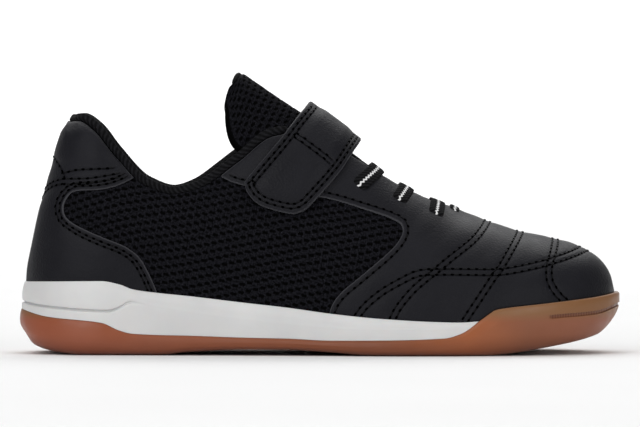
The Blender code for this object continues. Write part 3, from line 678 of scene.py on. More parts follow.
def make_upper():
    """Two halves of outer and inner points, welded along the top of the heel and the vamp."""
    layers, maps, faces, start = [], [], [], 0
    for side in SIDES:
        i, j, below = wall_places(side)
        x = between(last, i, j)[..., 0]
        inner = on_last(i, j, -WALL - collar_pad(x, below))
        layers.append([on_last(i, j, -OUTER_INSET).reshape(-1, 3), inner.reshape(-1, 3)])
        maps.append(np.stack([x, below], axis=-1).reshape(-1, 2))
        quads = grid_quads(*i.shape) + start
        faces.append(quads if side == "lateral" else turned(quads))
        start += i.size
    outer, inner = (np.concatenate(half) for half in zip(*layers))
    outer, quads, kept = weld(outer, np.concatenate(faces))
    points, quads = shell(outer, inner[kept], quads)
    maps = np.tile(np.concatenate(maps)[kept], (2, 1))
    add_piece("bootee", points, quads, make_lining_finish(), "black_mesh", ["upper"], uv=maps)


make_upper()

# %% [markdown]
# ## Lines on the side view
# The panels and seams are read from the side view. The vamp's edge runs from the sole up round the mesh
# and back along the eyestay; the heel's edge runs from the sole up round the mesh and forward along the
# heel tab. A panel is everything on one side of its line, so the signed distance to the line, minus on
# the other side, is the measure that cuts it out.

# %% Panel lines and distances to them
VAMP_EDGE = (
    (104.6, 8.0),
    (106.0, 15.5),
    (109.3, 20.9),
    (116.7, 27.2),
    (124.2, 33.5),
    (128.6, 38.0),
    (130.3, 42.0),
    (128.1, 45.1),
    (117.3, 49.2),
    (102.6, 53.4),
    (76.8, 57.3),
    (69.4, 59.9),
    (61.0, 62.5),
)
COUNTER_EDGE = (
    (48.7, 14.0),
    (47.5, 21.1),
    (43.7, 29.5),
    (40.9, 33.6),
    (36.4, 36.8),
    (28.8, 39.9),
    (21.9, 43.0),
    (17.3, 45.8),
    (15.9, 48.6),
    (16.2, 51.4),
    (18.0, 54.3),
    (20.8, 55.5),
    (27.1, 55.8),
    (32.5, 56.8),
    (38.1, 59.1),
    (46.0, 63.5),
)
SOLE_TOP = table(
    "x foam gum",
    (0.0, 24.4, 15.4),
    (9.4, 24.8, 13.0),
    (28.6, 25.1, 11.0),
    (34.7, 24.0, 8.4),
    (39.3, 22.3, 7.3),
    (48.0, 21.1, 6.9),
    (58.0, 20.1, 6.7),
    (76.8, 17.9, 6.1),
    (92.0, 16.2, 5.8),
    (106.0, 14.3, 5.2),
    (122.0, 12.7, 5.3),
    (144.2, 11.5, 6.0),
    (150.0, 11.4, 7.6),
    (157.2, 11.8, 12.6),
    (160.0, 11.8, 14.6),
    (161.6, 11.8, 15.6),
    (163.5, 11.8, 16.0),
    (179.2, 11.8, 17.7),
    (196.6, 11.8, 19.6),
    (203.6, 11.8, 20.7),
    (205.0, 11.8, 20.9),
)
FOAM_FRONT = 158.0


def rim_height(x):
    """Top edge of the sole at its side: the foam, then the gum round the toe."""
    return np.maximum(along(SOLE_TOP, "foam", x) * (x < FOAM_FRONT), along(SOLE_TOP, "gum", x))


def in_chunks(work, points, size=4000):
    """Run an array job on a few thousand points at a time, to spare memory."""
    parts = [work(points[k : k + size]) for k in range(0, len(points), size)]
    return np.concatenate(parts)


def nearest_distance(points, lines):
    """Distance from each point to the nearest point of some lines in space."""
    lines = np.concatenate(lines)
    size = (lines**2).sum(axis=1)

    def part(some):
        squares = (some**2).sum(axis=1)[:, None] + size[None] - 2 * some @ lines.T
        return np.sqrt(np.maximum(squares.min(axis=1), 0))

    return in_chunks(part, points)


def distance_left(points, line):
    """How far points lie to the left of a line: the way from its nearest point, minus on the right."""
    tangent = unit(np.gradient(line, axis=0))
    normal = np.column_stack([-tangent[:, 1], tangent[:, 0]])

    def part(some):
        nearest = ((some[:, None] - line[None]) ** 2).sum(axis=-1).argmin(axis=1)
        gap = some - line[nearest]
        return np.linalg.norm(gap, axis=1) * np.sign((gap * normal[nearest]).sum(axis=1))

    return in_chunks(part, points.reshape(-1, 2)).reshape(points.shape[:-1])


PANEL_DROP = 0.3
RIM_TUCK = 0.8  # the panels go this far down behind the sole's top edge
FAR_INSIDE = 50.0
LINE_STEP = 0.4
EDGE_POINTS = 500
side_view = last[..., [0, 2]]
vamp_line = curve_through(VAMP_EDGE, LINE_STEP)
counter_line = curve_through(COUNTER_EDGE, LINE_STEP)
past_counter = distance_left(side_view, counter_line)
past_vamp = distance_left(side_view, vamp_line)
edge_x = np.linspace(OPENING_BACK, OPENING_FRONT, EDGE_POINTS)
edge_lines = [on_last(station_of(edge_x), row_number(way * edge_row(edge_x))) for way in SIDES.values()]
in_opening = (station_x >= OPENING_BACK) & (station_x < OPENING_FRONT)
past_edge = (np.abs(arch_row)[None, :] < edge_row(station_x)[:, None]) & in_opening[:, None]
below_edge = nearest_distance(last.reshape(-1, 3), edge_lines).reshape(last.shape[:2])
below_edge = np.where(past_edge, -below_edge, below_edge)
over_rim = last[..., 2] - rim_height(last[..., 0]) + RIM_TUCK
print(f"vamp edge {running(vamp_line)[-1]:.0f} mm long, heel edge {running(counter_line)[-1]:.0f} mm")

# %% [markdown]
# ## The mesh of the quarters
# Between the panels an open mesh shows: slanting holes in staggered rows, 2.6 mm apart, each split in two by
# a yarn. The holes are real dents, so the grid is fine enough to hold them: steps of 0.4 mm along the shoe
# and up each arch, measured along the skin. The same measure is stored on the points and darkens the holes
# as painted shade.

# %% Finish of the mesh
def make_mesh_finish():
    """Black yarn; the stored hole depth darkens the holes to near black as painted shade; fine ribs run along
    the yarn.
    """
    finish, tree, shader = new_finish("black mesh", 0.75, Specular_IOR_Level=0.04)
    place = map_place(tree)
    strands = noise(tree, place, 1.5, 3.0)
    yarn = ramp(tree, strands, (0.35, srgb(4, 4, 6)), (0.65, srgb(28, 28, 33)))
    # painted shade: the holes go near black with their stored depth
    hole_shade = remap(tree, stored(tree, "hole"), 0.0, 1.0, 0.05, 0.4)
    link(tree, shader, Base_Color=mix(tree, hole_shade, yarn, srgb(1, 1, 1)))
    bump(tree, shader, (wave(tree, place, 0.45, distortion=3.0), 0.5, 0.2), (strands, 0.6, 0.25))
    return finish


mesh_finish = make_mesh_finish()


# %% Lay the mesh on both quarters
HOLE_PITCH, HOLE_ROW = 2.6, 2.5
HOLE_TILT = np.radians(-25)
HOLE_APART, HOLE_LONG, HOLE_WIDE = 0.42, 0.54, 0.48  # from the yarn in the hole, then each half's own radii
HOLE_SLOPE = (0.45, 1.25)  # of those radii, from full depth to none
ROW_RISE = np.radians(18)  # the rows climb towards the toe


def hole_depth(u, v, rise=0.0):
    """1 in the holes, 0 on the yarn: two round dents for each point of a lattice whose odd rows are shifted,
    the rows turned by the rise and the pair of dents by the tilt."""
    u, v = u * np.cos(rise) + v * np.sin(rise), v * np.cos(rise) - u * np.sin(rise)
    row = np.floor(v / HOLE_ROW + 0.5)
    shifted = u / HOLE_PITCH + 0.5 * np.mod(row, 2)
    u, v = (shifted - np.floor(shifted + 0.5)) * HOLE_PITCH, v - row * HOLE_ROW
    u, v = u * np.cos(HOLE_TILT) + v * np.sin(HOLE_TILT), v * np.cos(HOLE_TILT) - u * np.sin(HOLE_TILT)
    return 1 - fade(np.hypot((np.abs(u) - HOLE_APART) / HOLE_LONG, v / HOLE_WIDE), *HOLE_SLOPE)


MESH_START, MESH_END, MESH_STEP = 11.0, 133.0, 0.4
MESH_FOOT = 1.06  # row of its lower edge, a little below the widest line
GIRTH_ROWS = 140
LANE = 1000.0  # longer than any arch: one lane for each, so that all are read in one go
MESH_LIFT, DENT = 0.2, 0.5
MESH_PUFF, PUFF_RISE = 0.75, (0.3, 7)
HOLES_START = (-0.5, 0.6)  # from the panels' edges
UNDER_PANEL = 2.4


def even_girth(side):
    """(i, j, along, across): even steps along the shoe and, up each arch, even steps of its length, found
    by reading the arch's rows against its running length. Steps past the opening stay on its edge."""
    x = np.arange(MESH_START, MESH_END, MESH_STEP)
    i = station_of(x)
    rows = np.linspace(MESH_FOOT, 0, GIRTH_ROWS)
    places = np.broadcast_arrays(i[:, None], row_number(SIDES[side] * rows)[None, :])
    run = running(on_last(*places).swapaxes(0, 1)).T
    lanes = LANE * np.arange(len(x))[:, None]
    edge = np.interp(lanes[:, 0] - edge_row(x), (lanes - rows).ravel(), run.ravel())
    across = np.arange(0, edge.max() + MESH_STEP, MESH_STEP)
    reach = np.minimum(across[None, :], edge[:, None])
    row = np.interp((reach + lanes).ravel(), (run + lanes).ravel(), np.tile(rows, len(x)))
    row = row.reshape(reach.shape)
    i = np.broadcast_to(i[:, None], reach.shape)
    return i, row_number(SIDES[side] * row), np.broadcast_to(x[:, None], reach.shape), reach


def make_quarter_mesh(side):
    """A sheet of mesh, kept where it shows and a little way under the panels, puffed in between."""
    i, j, u, v = even_girth(side)
    shown = np.minimum(-between(past_counter, i, j), between(past_vamp, i, j))
    hole = hole_depth(u, v, ROW_RISE) * fade(shown, *HOLES_START)
    out = MESH_LIFT + MESH_PUFF * fade(shown, *PUFF_RISE) - DENT * hole
    quads = grid_quads(*i.shape)
    quads = quads if side == "lateral" else turned(quads)
    quads = quads[(shown.ravel()[quads] > -UNDER_PANEL).any(axis=1)]
    outer, quads, kept = weld(on_last(i, j, out).reshape(-1, 3), quads)
    used, quads = np.unique(np.append(quads, -1), return_inverse=True)
    used, quads = used[1:], quads[:-1].reshape(-1, 4) - 1
    kept = kept[used]
    points, quads = shell(outer[used], on_last(i, j, -OUTER_INSET).reshape(-1, 3)[kept], quads)
    maps = np.tile(np.stack([u, v], axis=-1).reshape(-1, 2)[kept], (2, 1))
    holes = np.tile(hole.ravel()[kept], 2)
    add_piece(f"{side}_mesh", points, quads, mesh_finish, "black_mesh", uv=maps, hole=holes)


for side in SIDES:
    make_quarter_mesh(side)

# %% [markdown]
# ## Seams and creases
# Double rows of stitching cross the forefoot, and single or double rows hold the panels' edges. Each row
# pulls the leather down into a soft trough, and the strip between two rows stands up again. A row is a
# side-view line with its inset; laid on both sides of the last it gives the path for the stitches and the
# line to measure the troughs from. Rows that reach the top of the toe or the back of the heel run across to
# the other side. The flex creases are placed in the same way.

# %% Seam lines in the side view
FOREFOOT_SEAMS = {
    "first": (
        *((161.0, 46.0), (154.7, 38.6), (146.6, 32.6), (141.8, 28.7)),
        *((134.5, 22.8), (129.3, 16.8), (127.0, 12.6)),
    ),
    "second": ((171.8, 42.0), (167.1, 34.9), (163.8, 29.7), (161.0, 26.1), (154.4, 16.6), (151.4, 12.2)),
    "third": ((183.6, 40.0), (181.4, 33.6), (179.9, 29.2), (179.9, 24.8), (182.1, 20.9), (185.0, 17.9)),
    "toe_cap": (
        *((195.6, 35.6), (188.0, 33.1), (181.5, 31.2), (174.9, 29.6), (164.1, 27.8), (153.2, 27.8)),
        *((144.5, 28.0), (136.0, 27.7), (129.8, 25.1), (123.3, 21.4), (117.9, 16.9), (115.0, 13.2)),
    ),
}
HEEL_SEAMS = {
    "tab_low": ((15.9, 57.6), (19.0, 57.5), (24.3, 57.9), (30.4, 58.9), (35.0, 60.2)),
    "tab_mid": ((15.9, 59.4), (19.5, 59.5), (24.0, 59.6), (30.1, 60.5), (35.0, 61.4)),
    "tab_high": ((15.4, 61.3), (20.1, 62.4), (25.2, 62.7), (30.1, 62.9), (33.0, 63.1)),
    "tab_back": ((12.2, 68.3), (13.9, 65.0), (15.3, 61.9), (15.9, 59.8)),
    "back_high": ((15.6, 59.4), (12.4, 58.3), (9.7, 56.4), (8.6, 54.9)),
    "back_low": ((15.2, 57.6), (12.4, 56.8), (9.9, 55.0), (8.2, 52.6)),
}
CREASES = (  # line, depth and width
    (((152.0, 48.5), (147.0, 42.5), (140.0, 36.5)), 0.16, 3.0),
    (((146.0, 46.0), (140.0, 41.0), (134.0, 37.5)), 0.12, 2.6),
    (((137.0, 48.5), (134.0, 44.0), (133.0, 40.0)), 0.14, 2.2),
    (((166.0, 43.5), (160.5, 36.0), (155.0, 31.0)), 0.1, 2.6),
    (((177.0, 41.0), (174.0, 35.0), (171.5, 31.0)), 0.1, 2.6),
    (((140.0, 23.0), (137.0, 18.5), (135.5, 14.0)), 0.12, 2.2),
)
SEAM_STEP = 0.5
ROW_GAP = 1.9
VAMP_INSET = 1.8
VAMP_ROW_BACK = 68.0
COUNTER_INSETS = (1.5, 2.7)
BELOW_COLLAR, BELOW_RIDGE, ABOVE_SOLE = 1.6, 0.05, 0.4  # where rows stop


def beside(line, gap):
    """A line moved to its left by a gap: each point along the line's own normal."""
    tangent = unit(np.gradient(line, axis=0))
    return line + gap * np.column_stack([-tangent[:, 1], tangent[:, 0]])


def ridge_height(x):
    """Height of the last's top line, or of its back line at the heel."""
    return np.interp(x, station_x, last[:, MIDDLE, 2])


def shown_part(line):
    """The stretch of a line above the sole's edge, below the collar's and on this side of the ridge."""
    x, z = line.T
    in_opening = (x > OPENING_BACK) & (x < OPENING_FRONT)
    top = np.where(in_opening, along(OPENING, "z", x) - BELOW_COLLAR, ridge_height(x) - BELOW_RIDGE)
    return line[(z > rim_height(x) + ABOVE_SOLE) & (z < top)]


vamp_rows = [
    beside(curve_through(points, SEAM_STEP), gap)
    for points in FOREFOOT_SEAMS.values()
    for gap in (-ROW_GAP / 2, ROW_GAP / 2)
]
vamp_rows.append(beside(vamp_line[vamp_line[:, 0] > VAMP_ROW_BACK], -VAMP_INSET))
counter_rows = [beside(counter_line, gap) for gap in COUNTER_INSETS]
counter_rows += [curve_through(points, SEAM_STEP) for points in HEEL_SEAMS.values()]
vamp_rows = [shown_part(row) for row in vamp_rows]
counter_rows = [shown_part(row) for row in counter_rows]
print("seam rows:", len(vamp_rows), "on the vamp,", len(counter_rows), "on the heel, a side")


# %% Lay the lines on both sides and measure troughs from them
CROSSING = 20.0  # ends of a row nearer to each other than this are joined over the top or round the back
CROSSING_STEPS = 25


def seam_places(row):
    """Places of a row: a run on each side, or one run from side to side where two ends come close. There it
    crosses the middle on a parabola that leaves each end in the row's own direction."""
    near, far = (np.stack(side_place(*row.T, side)) for side in SIDES)
    gaps = np.linalg.norm(on_last(*near[:, [0, -1]]) - on_last(*far[:, [0, -1]]), axis=1)
    if gaps.min() > CROSSING:
        return [near, far]
    if gaps[1] < gaps[0]:
        near, far = near[:, ::-1], far[:, ::-1]
    s = np.linspace(1, -1, CROSSING_STEPS + 1)[1:-1]
    half = near[1, 0] - MIDDLE
    slope = (near[0, 0] - near[0, 3]) / (near[1, 0] - near[1, 3])
    across = np.stack([near[0, 0] - slope * half / 2 * (1 - s**2), MIDDLE + half * s])
    return [np.concatenate([near[:, ::-1], across, far], axis=1)]


GROOVE, GROOVE_WIDTH = 0.26, 0.5
PULL, PULL_WIDTH = 0.22, 2.4
CREASE_STEP, CREASE_LIP = 0.6, 0.45


def seam_relief(points, rows):
    """Troughs along rows of stitches: a narrow groove inside a wide soft dip, each a bell curve of the
    distance to the nearest row."""
    gap = nearest_distance(points, [on_last(*place) for row in rows for place in seam_places(row)])
    return -GROOVE * np.exp(-((gap / GROOVE_WIDTH) ** 2)) - PULL * np.exp(-((gap / PULL_WIDTH) ** 2))


def crease_relief(points):
    """Flex creases: a bell-shaped trough with a lower ridge on either side of it."""
    relief = np.zeros(len(points))
    for crease, depth, width in CREASES:
        line = curve_through(crease, CREASE_STEP)
        gap = nearest_distance(points, [on_last(*side_place(*line.T, side)) for side in SIDES]) / width
        relief += depth * (CREASE_LIP * gap**2 - 1) * np.exp(-(gap**2))
    return relief


print("deepest groove", GROOVE + PULL, "mm")

# %% [markdown]
# ## Leather panels
# The toe, sides and eyestays are one smooth panel, and the heel cup and tab another. A cutter would leave
# ragged faces along the edge, so the panel is cut from the last's own grid: faces inside the line are
# kept, and corners near the line slide along the grid onto it. The outer layer rolls over at the cut edge.

# %% Finish of the leather
def make_leather_finish():
    """Black coated leather: pebbles from cells and noise, clouds in colour and gloss, and a painted
    highlight:
    paler colour along the cut edges.
    """
    finish, tree, shader = new_finish("black leather", 0.48, Specular_IOR_Level=0.13)
    place = object_place(tree)
    clouds = noise(tree, place, 55.0, 4.0)
    black = ramp(tree, clouds, (0.3, srgb(18, 18, 23)), (0.7, srgb(26, 26, 31)))
    # painted highlight: the colour turns paler within half a millimetre of a cut edge
    edge_highlight = remap(tree, stored(tree, "edge"), 1.0, 0.0, 0.0, 0.5)
    link(tree, shader, Base_Color=mix(tree, edge_highlight, black, srgb(68, 68, 72)))
    link(tree, shader, Roughness=remap(tree, clouds, 0.42, 0.56, 0.3, 0.7))
    cells = add_node(tree, "TexVoronoi", {"Vector": place, "Scale": 1300.0}).outputs["Distance"]
    bump(tree, shader, (cells, 0.45, 0.2), (noise(tree, place, 3200.0), 0.3, 0.15))
    return finish


leather_finish = make_leather_finish()

# %% Cut panels out of the last
SNAP = 0.3  # corners nearer to the line than this, or past it, slide onto it
SLIDE_ROUNDS, SLIDE_MOST = 6, 0.7  # by this much of a grid step a round
EDGE_ROLL = 0.9
EDGE_FOOT = 0.55  # share of the thickness that a cut edge has before it rolls over


def cut_panel(inside, finer=(1, 1)):
    """(i, j, faces, distance to the line): faces with a corner inside, their other corners moved down the
    slope of the distance, in grid numbers, until it is 0. Finer splits each step of the grid."""
    steps = [np.arange((size - 1) * more + 1) / more for size, more in zip(inside.shape, finer)]
    inside = between(inside, *np.meshgrid(*steps, indexing="ij"))
    slopes = np.gradient(inside)
    quads = grid_quads(*inside.shape)
    quads = quads[(inside.ravel()[quads] > SNAP).any(axis=1)]
    used, quads = np.unique(quads, return_inverse=True)
    i, j = (part.astype(float) for part in np.divmod(used, inside.shape[1]))
    depth = inside.ravel()[used]
    rim = depth <= SNAP
    for _ in range(SLIDE_ROUNDS):
        slope_i, slope_j = (between(slope, i[rim], j[rim]) for slope in slopes)
        step = between(inside, i[rim], j[rim]) / np.maximum(slope_i**2 + slope_j**2, 1e-4)
        for place, slope, size in zip((i, j), (slope_i, slope_j), inside.shape):
            place[rim] = np.clip(place[rim] - np.clip(step * slope, -SLIDE_MOST, SLIDE_MOST), 0, size - 1)
    depth[rim] = 0
    return i / finer[0], j / finer[1], quads.reshape(-1, 4), depth


def edge_roll(depth, reach=EDGE_ROLL, foot=EDGE_FOOT):
    """Share of the full thickness: a foot at the cut edge, then a quarter round up to the full thickness."""
    left = 1 - np.clip(depth / reach, 0, 1)
    return foot + (1 - foot) * np.sqrt(1 - left**2)


def add_leather(name, node, outer, inner, quads, depth):
    """A leather wall of outer and inner points, with the way in from its cut edge, up to 1 mm, stored."""
    outer, quads, kept = weld(outer, quads)
    points, quads = shell(outer, inner[kept], quads)
    edge = np.tile(np.minimum(depth[kept], 1), 2)
    add_piece(name, points, quads, leather_finish, "black_leather", [node], edge=edge)


# %% Make the vamp and the heel panel
RELIEF_START = 0.8  # how far from a cut edge the relief has its full depth
VAMP_PUFF, VAMP_PUFF_X = 0.3, (112, 135)  # the forefoot swells between its seams
TAB_PUFF, TAB_PUFF_Z = 0.8, ((62.5, 68), (74, 79))  # and so does the padded heel tab
VAMP_BACK, COUNTER_FRONT = 64.0, 50.0  # the vamp stays in front of the one, the heel panel behind the other


def near_edge(depth):
    """Relief grows from nothing at a cut edge."""
    return fade(depth, 0.0, RELIEF_START)


def vamp_relief(points, depth):
    """Seams, creases and a slight swelling of the forefoot."""
    swell = VAMP_PUFF * fade(points[:, 0], *VAMP_PUFF_X)
    return (swell + seam_relief(points, vamp_rows) + crease_relief(points)) * near_edge(depth)


def counter_relief(points, depth):
    """Seams, with the padded heel tab swelling above them."""
    swell = TAB_PUFF * hump(points[:, 2], *TAB_PUFF_Z)
    return (swell + seam_relief(points, counter_rows)) * near_edge(depth)


def make_panel(name, node, past_line, here, relief, finer):
    """Two layers of the last, with relief in the outer one. Inside is the least of the ways in from the
    panel's line, from the collar and from the sole's edge."""
    inside = np.minimum(np.minimum(past_line, below_edge - PANEL_DROP), over_rim)
    i, j, quads, depth = cut_panel(np.where(here[:, None], inside, -FAR_INSIDE), finer)
    lift = CLEARANCE + PANEL * edge_roll(depth) + relief(between(last, i, j), depth)
    add_leather(name, node, on_last(i, j, lift), on_last(i, j, CLEARANCE), quads, depth)


make_panel("vamp_panel", "vamp_overlay", -past_vamp, station_x > VAMP_BACK, vamp_relief, (1, 1))
make_panel("heel_panel", "heel_counter", past_counter, station_x < COUNTER_FRONT, counter_relief, (1, 2))

# %% [markdown]
# ## Collar binding
# A soft knitted roll closes the collar. It is a profile, an oval a little wider than the wall, carried
# along the edge of the opening from one eyestay round the heel to the other. Its ribs are bump on a map
# that follows the roll.

# %% Finish of the knit
def make_knit_finish():
    """Black knit: slanting ribs across the roll, with painted shade in the gaps between them."""
    finish, tree, shader = new_finish("black knit", 0.9, Specular_IOR_Level=0.1)
    place = map_place(tree)
    clouds = noise(tree, place, 0.8)
    ribs = wave(tree, place, 0.34, "DIAGONAL", 1.5)
    black = ramp(tree, clouds, (0.3, srgb(19, 19, 21)), (0.7, srgb(31, 31, 34)))
    # painted shade: the gaps between the ribs go near black
    gaps = remap(tree, ribs, 0.9, 0.0)
    link(tree, shader, Base_Color=mix(tree, gaps, black, srgb(3, 3, 4)))
    bump(tree, shader, (ribs, 0.8, 0.35), (wave(tree, place, 0.3, "Y", 1.0), 0.5, 0.25))
    return finish


knit_finish = make_knit_finish()

# %% Profile and faces of a closed tube
def oval(sides, power):
    """(turn, across, up) round an oval: cos and sin to a power, with their signs; below 1 it is squarer."""
    turn = np.linspace(0, 2 * np.pi, sides, endpoint=False)
    return turn, *(np.sign(part) * np.abs(part) ** power for part in (np.cos(turn), np.sin(turn)))


def tube_quads(rings, sides):
    """Faces round a tube, and at both ends strips from one half of the ring to the other."""
    k = np.arange(sides // 2 - 1)
    cap = np.stack([sides - 1 - k, sides - 2 - k, k + 1, k], axis=-1)
    return np.concatenate([grid_quads(rings, sides, wrap=True), cap, turned(cap) + (rings - 1) * sides])


# %% Carry the roll along the collar
BINDING_WIDTH = 2.9
BINDING_HIGH, BINDING_THICK = 0.56, 0.82  # half the oval, by the binding's width and by wall and panel
BINDING_IN = 0.55  # of the wall, from its face to the roll's middle
BINDING_TAPER, TAPER_LENGTH = 0.55, 3.0  # share of the oval at the two ends
BINDING_END = 92.0
BINDING_STEP, BINDING_SIDES = 0.8, 20
BINDING_POWER = 0.6
BACK_PLACES, SIDE_COLLAR_PLACES = 60, 140


def collar_path():
    """(points, outward, upward, running length) along the edge of the opening in even steps, with a frame
    at each: the last's normal out, and up across the path."""
    turn = np.linspace(0, np.pi / 2, BACK_PLACES, endpoint=False)
    back = OPENING_BACK + OPENING_BACK_ROUND * (1 - np.cos(turn))
    x = np.concatenate([back, np.linspace(back[-1], BINDING_END, SIDE_COLLAR_PLACES)[1:]])
    x = np.concatenate([x[::-1], x[1:]])
    side = np.where(np.arange(len(x)) < len(x) // 2, -1, 1)
    i, j = station_of(x), row_number(side * edge_row(x))
    path, out = on_last(i, j), unit(between(last_normals, i, j))
    run = running(path)
    even = np.linspace(0, run[-1], int(run[-1] / BINDING_STEP))
    path, out = (read_along(run, even, part) for part in (path, out))
    ahead = unit(np.gradient(path, axis=0))
    out = unit(out - (out * ahead).sum(axis=1, keepdims=True) * ahead)
    return path, out, np.cross(ahead, out), even


def make_collar_binding():
    """Ovals round the path, large enough to wrap wall and panel, and smaller towards the two ends."""
    path, out, up, run = collar_path()
    turn, high, thick = oval(BINDING_SIDES, BINDING_POWER)
    from_end = rounded(np.minimum(run, run[-1] - run), TAPER_LENGTH, 2)
    taper = (BINDING_TAPER + (1 - BINDING_TAPER) * from_end)[:, None]
    high = high * BINDING_WIDTH * BINDING_HIGH * taper
    thick = thick * (WALL + PANEL) * BINDING_THICK * taper
    middle = path + up * (CLEARANCE + BINDING_WIDTH / 2) - out * WALL * BINDING_IN
    points = middle[:, None] + up[:, None] * high[..., None] + out[:, None] * thick[..., None]
    maps = np.stack(np.broadcast_arrays(run[:, None], (turn * BINDING_WIDTH / 2)[None]), axis=-1)
    points, maps, quads = points.reshape(-1, 3), maps.reshape(-1, 2), tube_quads(len(path), BINDING_SIDES)
    add_piece("collar_roll", points, quads, knit_finish, "black_knit", ["collar_binding"], uv=maps)


make_collar_binding()

# %% [markdown]
# ## Sole
# The sole is a gum cup with a white foam wedge in it. Both are rings round the shoe: a ring is the plan's
# loop pushed out by an offset and lifted to a height that depends on x, and the rings follow one another up
# the side. The gum's side is a quarter of an oval from the tread to its fullest line, with a thin groove
# round the toe; the foam's side has the step under the heel panel. The foam is trimmed along the gum line
# by one flat-sided cutter, because its front end runs out to nothing there.

# %% Finishes of gum and foam
def make_gum_finish():
    """Gum rubber: redder at the heel, orange where the foam runs out, browner round the toe, by the shoe's
    length; clouds over it, painted shade darker towards the floor, painted shade in fine stripes in the toe's
    groove, a satin face."""
    finish, tree, shader = new_finish("gum rubber", 0.4, Specular_IOR_Level=0.35)
    place = object_place(tree)
    parts = add_node(tree, "SeparateXYZ", {"Vector": place}).outputs
    share = remap(tree, parts["X"], 0.0, 1.0, -LENGTH / 2 * MM, LENGTH / 2 * MM)
    tone = ramp(
        tree,
        share,
        (0.0, srgb(150, 80, 54)),
        (0.3, srgb(142, 78, 48)),
        (0.62, srgb(138, 78, 46)),
        (0.74, srgb(160, 90, 50)),
        (0.84, srgb(134, 82, 56)),
        (1.0, srgb(142, 84, 60)),
    )
    clouds = remap(tree, noise(tree, place, 70.0, 4.0), 0.0, 0.35, 0.35, 0.8)
    tone = mix(tree, clouds, tone, srgb(122, 66, 40))
    # painted shade: darker towards the floor, where the side turns under
    low = remap(tree, parts["Z"], 0.55, 0.0, 0.0, 7.0 * MM)
    tone = mix(tree, low, tone, srgb(84, 42, 30))
    high = remap(tree, parts["Z"], 0.0, 0.9, 11.5 * MM, 14.5 * MM)
    deep = mix(tree, high, tone, srgb(128, 90, 56))
    # painted shade: the toe's groove is darker, in fine stripes
    groove_shade = mix(tree, remap(tree, wave(tree, place, 350.0), 0.35, 0.9), deep, srgb(92, 46, 30))
    link(tree, shader, Base_Color=mix(tree, stored(tree, "groove"), deep, groove_shade))
    link(tree, shader, Roughness=remap(tree, noise(tree, place, 260.0), 0.34, 0.5, 0.3, 0.7))
    bump(tree, shader, (noise(tree, place, 2200.0), 0.08, 0.1))
    return finish


def make_foam_finish():
    """White moulded foam: a matt skin with faint clouds, fine pits and a grey painted shade in the step."""
    finish, tree, shader = new_finish("white foam", 0.5, Subsurface_Weight=0.08, Subsurface_Scale=0.002)
    place = object_place(tree)
    white = ramp(tree, noise(tree, place, 60.0, 4.0), (0.3, srgb(206, 206, 206)), (0.7, srgb(215, 215, 214)))
    # painted shade: grey in the step under the heel panel
    shade = remap(tree, stored(tree, "groove"), 0.0, 0.3)
    link(tree, shader, Base_Color=mix(tree, shade, white, srgb(176, 176, 178)))
    bump(tree, shader, (noise(tree, place, 1500.0), 0.06, 0.1), (noise(tree, place, 240.0), 0.05, 0.2))
    return finish


# %% Tables of the sole
SOLE = table(
    "x tread full groove",
    (0.0, 8.0, 0.55, 0.5),
    (2.1, 6.3, 0.55, 0.5),
    (4.8, 3.2, 0.55, 0.5),
    (9.4, 1.6, 0.55, 0.5),
    (14.0, 0.8, 0.55, 0.5),
    (22.0, 0.0, 0.55, 0.5),
    (48.0, 0.0, 0.6, 0.5),
    (58.0, 1.1, 0.6, 0.5),
    (76.8, 1.9, 0.6, 0.5),
    (92.0, 1.9, 0.6, 0.5),
    (106.0, 1.1, 0.6, 0.5),
    (122.0, 0.0, 0.6, 0.5),
    (144.2, 0.0, 0.65, 0.6),
    (157.2, 0.0, 0.7, 0.75),
    (163.5, 0.4, 0.8, 0.83),
    (179.2, 2.6, 0.85, 0.8),
    (196.6, 6.4, 0.88, 0.66),
    (203.6, 11.3, 0.9, 0.55),
    (205.0, 12.4, 0.9, 0.5),
)
HEEL_PANEL = table(
    "x z depth",
    (0.0, 17.8, 1.1),
    (8.8, 16.4, 1.1),
    (31.1, 15.0, 1.1),
    (34.1, 15.9, 0.9),
    (38.6, 18.0, 0.5),
    (44.0, 17.0, 0.0),
    (60.0, 14.0, 0.0),
    (120.0, 8.6, 0.0),
    (205.0, 8.6, 0.0),
)
TOE_GROOVE_DEPTH, TOE_GROOVE_HEIGHT = 0.45, 1.0
TOE_GROOVE_START = (179.9, 180.3)
CUP_GAP = 0.55
TREAD_SLOTS = (27.0, 34.0, 41.0, 124.0, 132.0, 140.0, 148.0, 156.0)
TREAD_SLOT, TREAD_DEPTH, TREAD_MARGIN = 1.8, 1.0, 7.0
TREAD_INSET = -4.0
SLOT_EDGE, SLOT_CLEAR = 0.06, 0.3  # width of a slot's upright side, and room between it and other places
SIDE_PLACES = 171

side_x = side_places(SIDE_PLACES)
slot_edges = np.add.outer(TREAD_SLOTS, np.array([-1, 1]) * TREAD_SLOT / 2)
slot_edges = np.add.outer(slot_edges.ravel(), np.array([-1, 1]) * SLOT_EDGE / 2).ravel()
clear_of_slots = np.abs(side_x[:, None] - slot_edges[None]).min(axis=1) > SLOT_CLEAR
slotted_x = np.sort(np.concatenate([side_x[clear_of_slots], slot_edges, TOE_GROOVE_START]))
print(f"sole: {len(slotted_x)} places a side, {len(TREAD_SLOTS)} tread slots")


# %% Rings, and the flat between two sides of a ring
def ring(offset, height, x, dent=0.0):
    """A loop round the shoe at an offset less a dent, lifted to a height; both may depend on x."""
    loop = sole_loop(offset, x)
    inward = sole_loop(offset - 1, x) - loop
    loop = loop + inward * np.reshape(dent(loop[:, 0]) if callable(dent) else dent, (-1, 1))
    return np.column_stack([loop, height(loop[:, 0])])


def across(loop, columns):
    """A grid from the lateral to the medial side of a ring: even steps on the straight line between the
    two points of one place."""
    half = len(loop) // 2
    medial = np.concatenate([loop[:1], loop[:half:-1], loop[half : half + 1]])
    share = np.linspace(0, 1, columns)[None, :, None]
    return loop[: half + 1, None] * (1 - share) + medial[:, None] * share


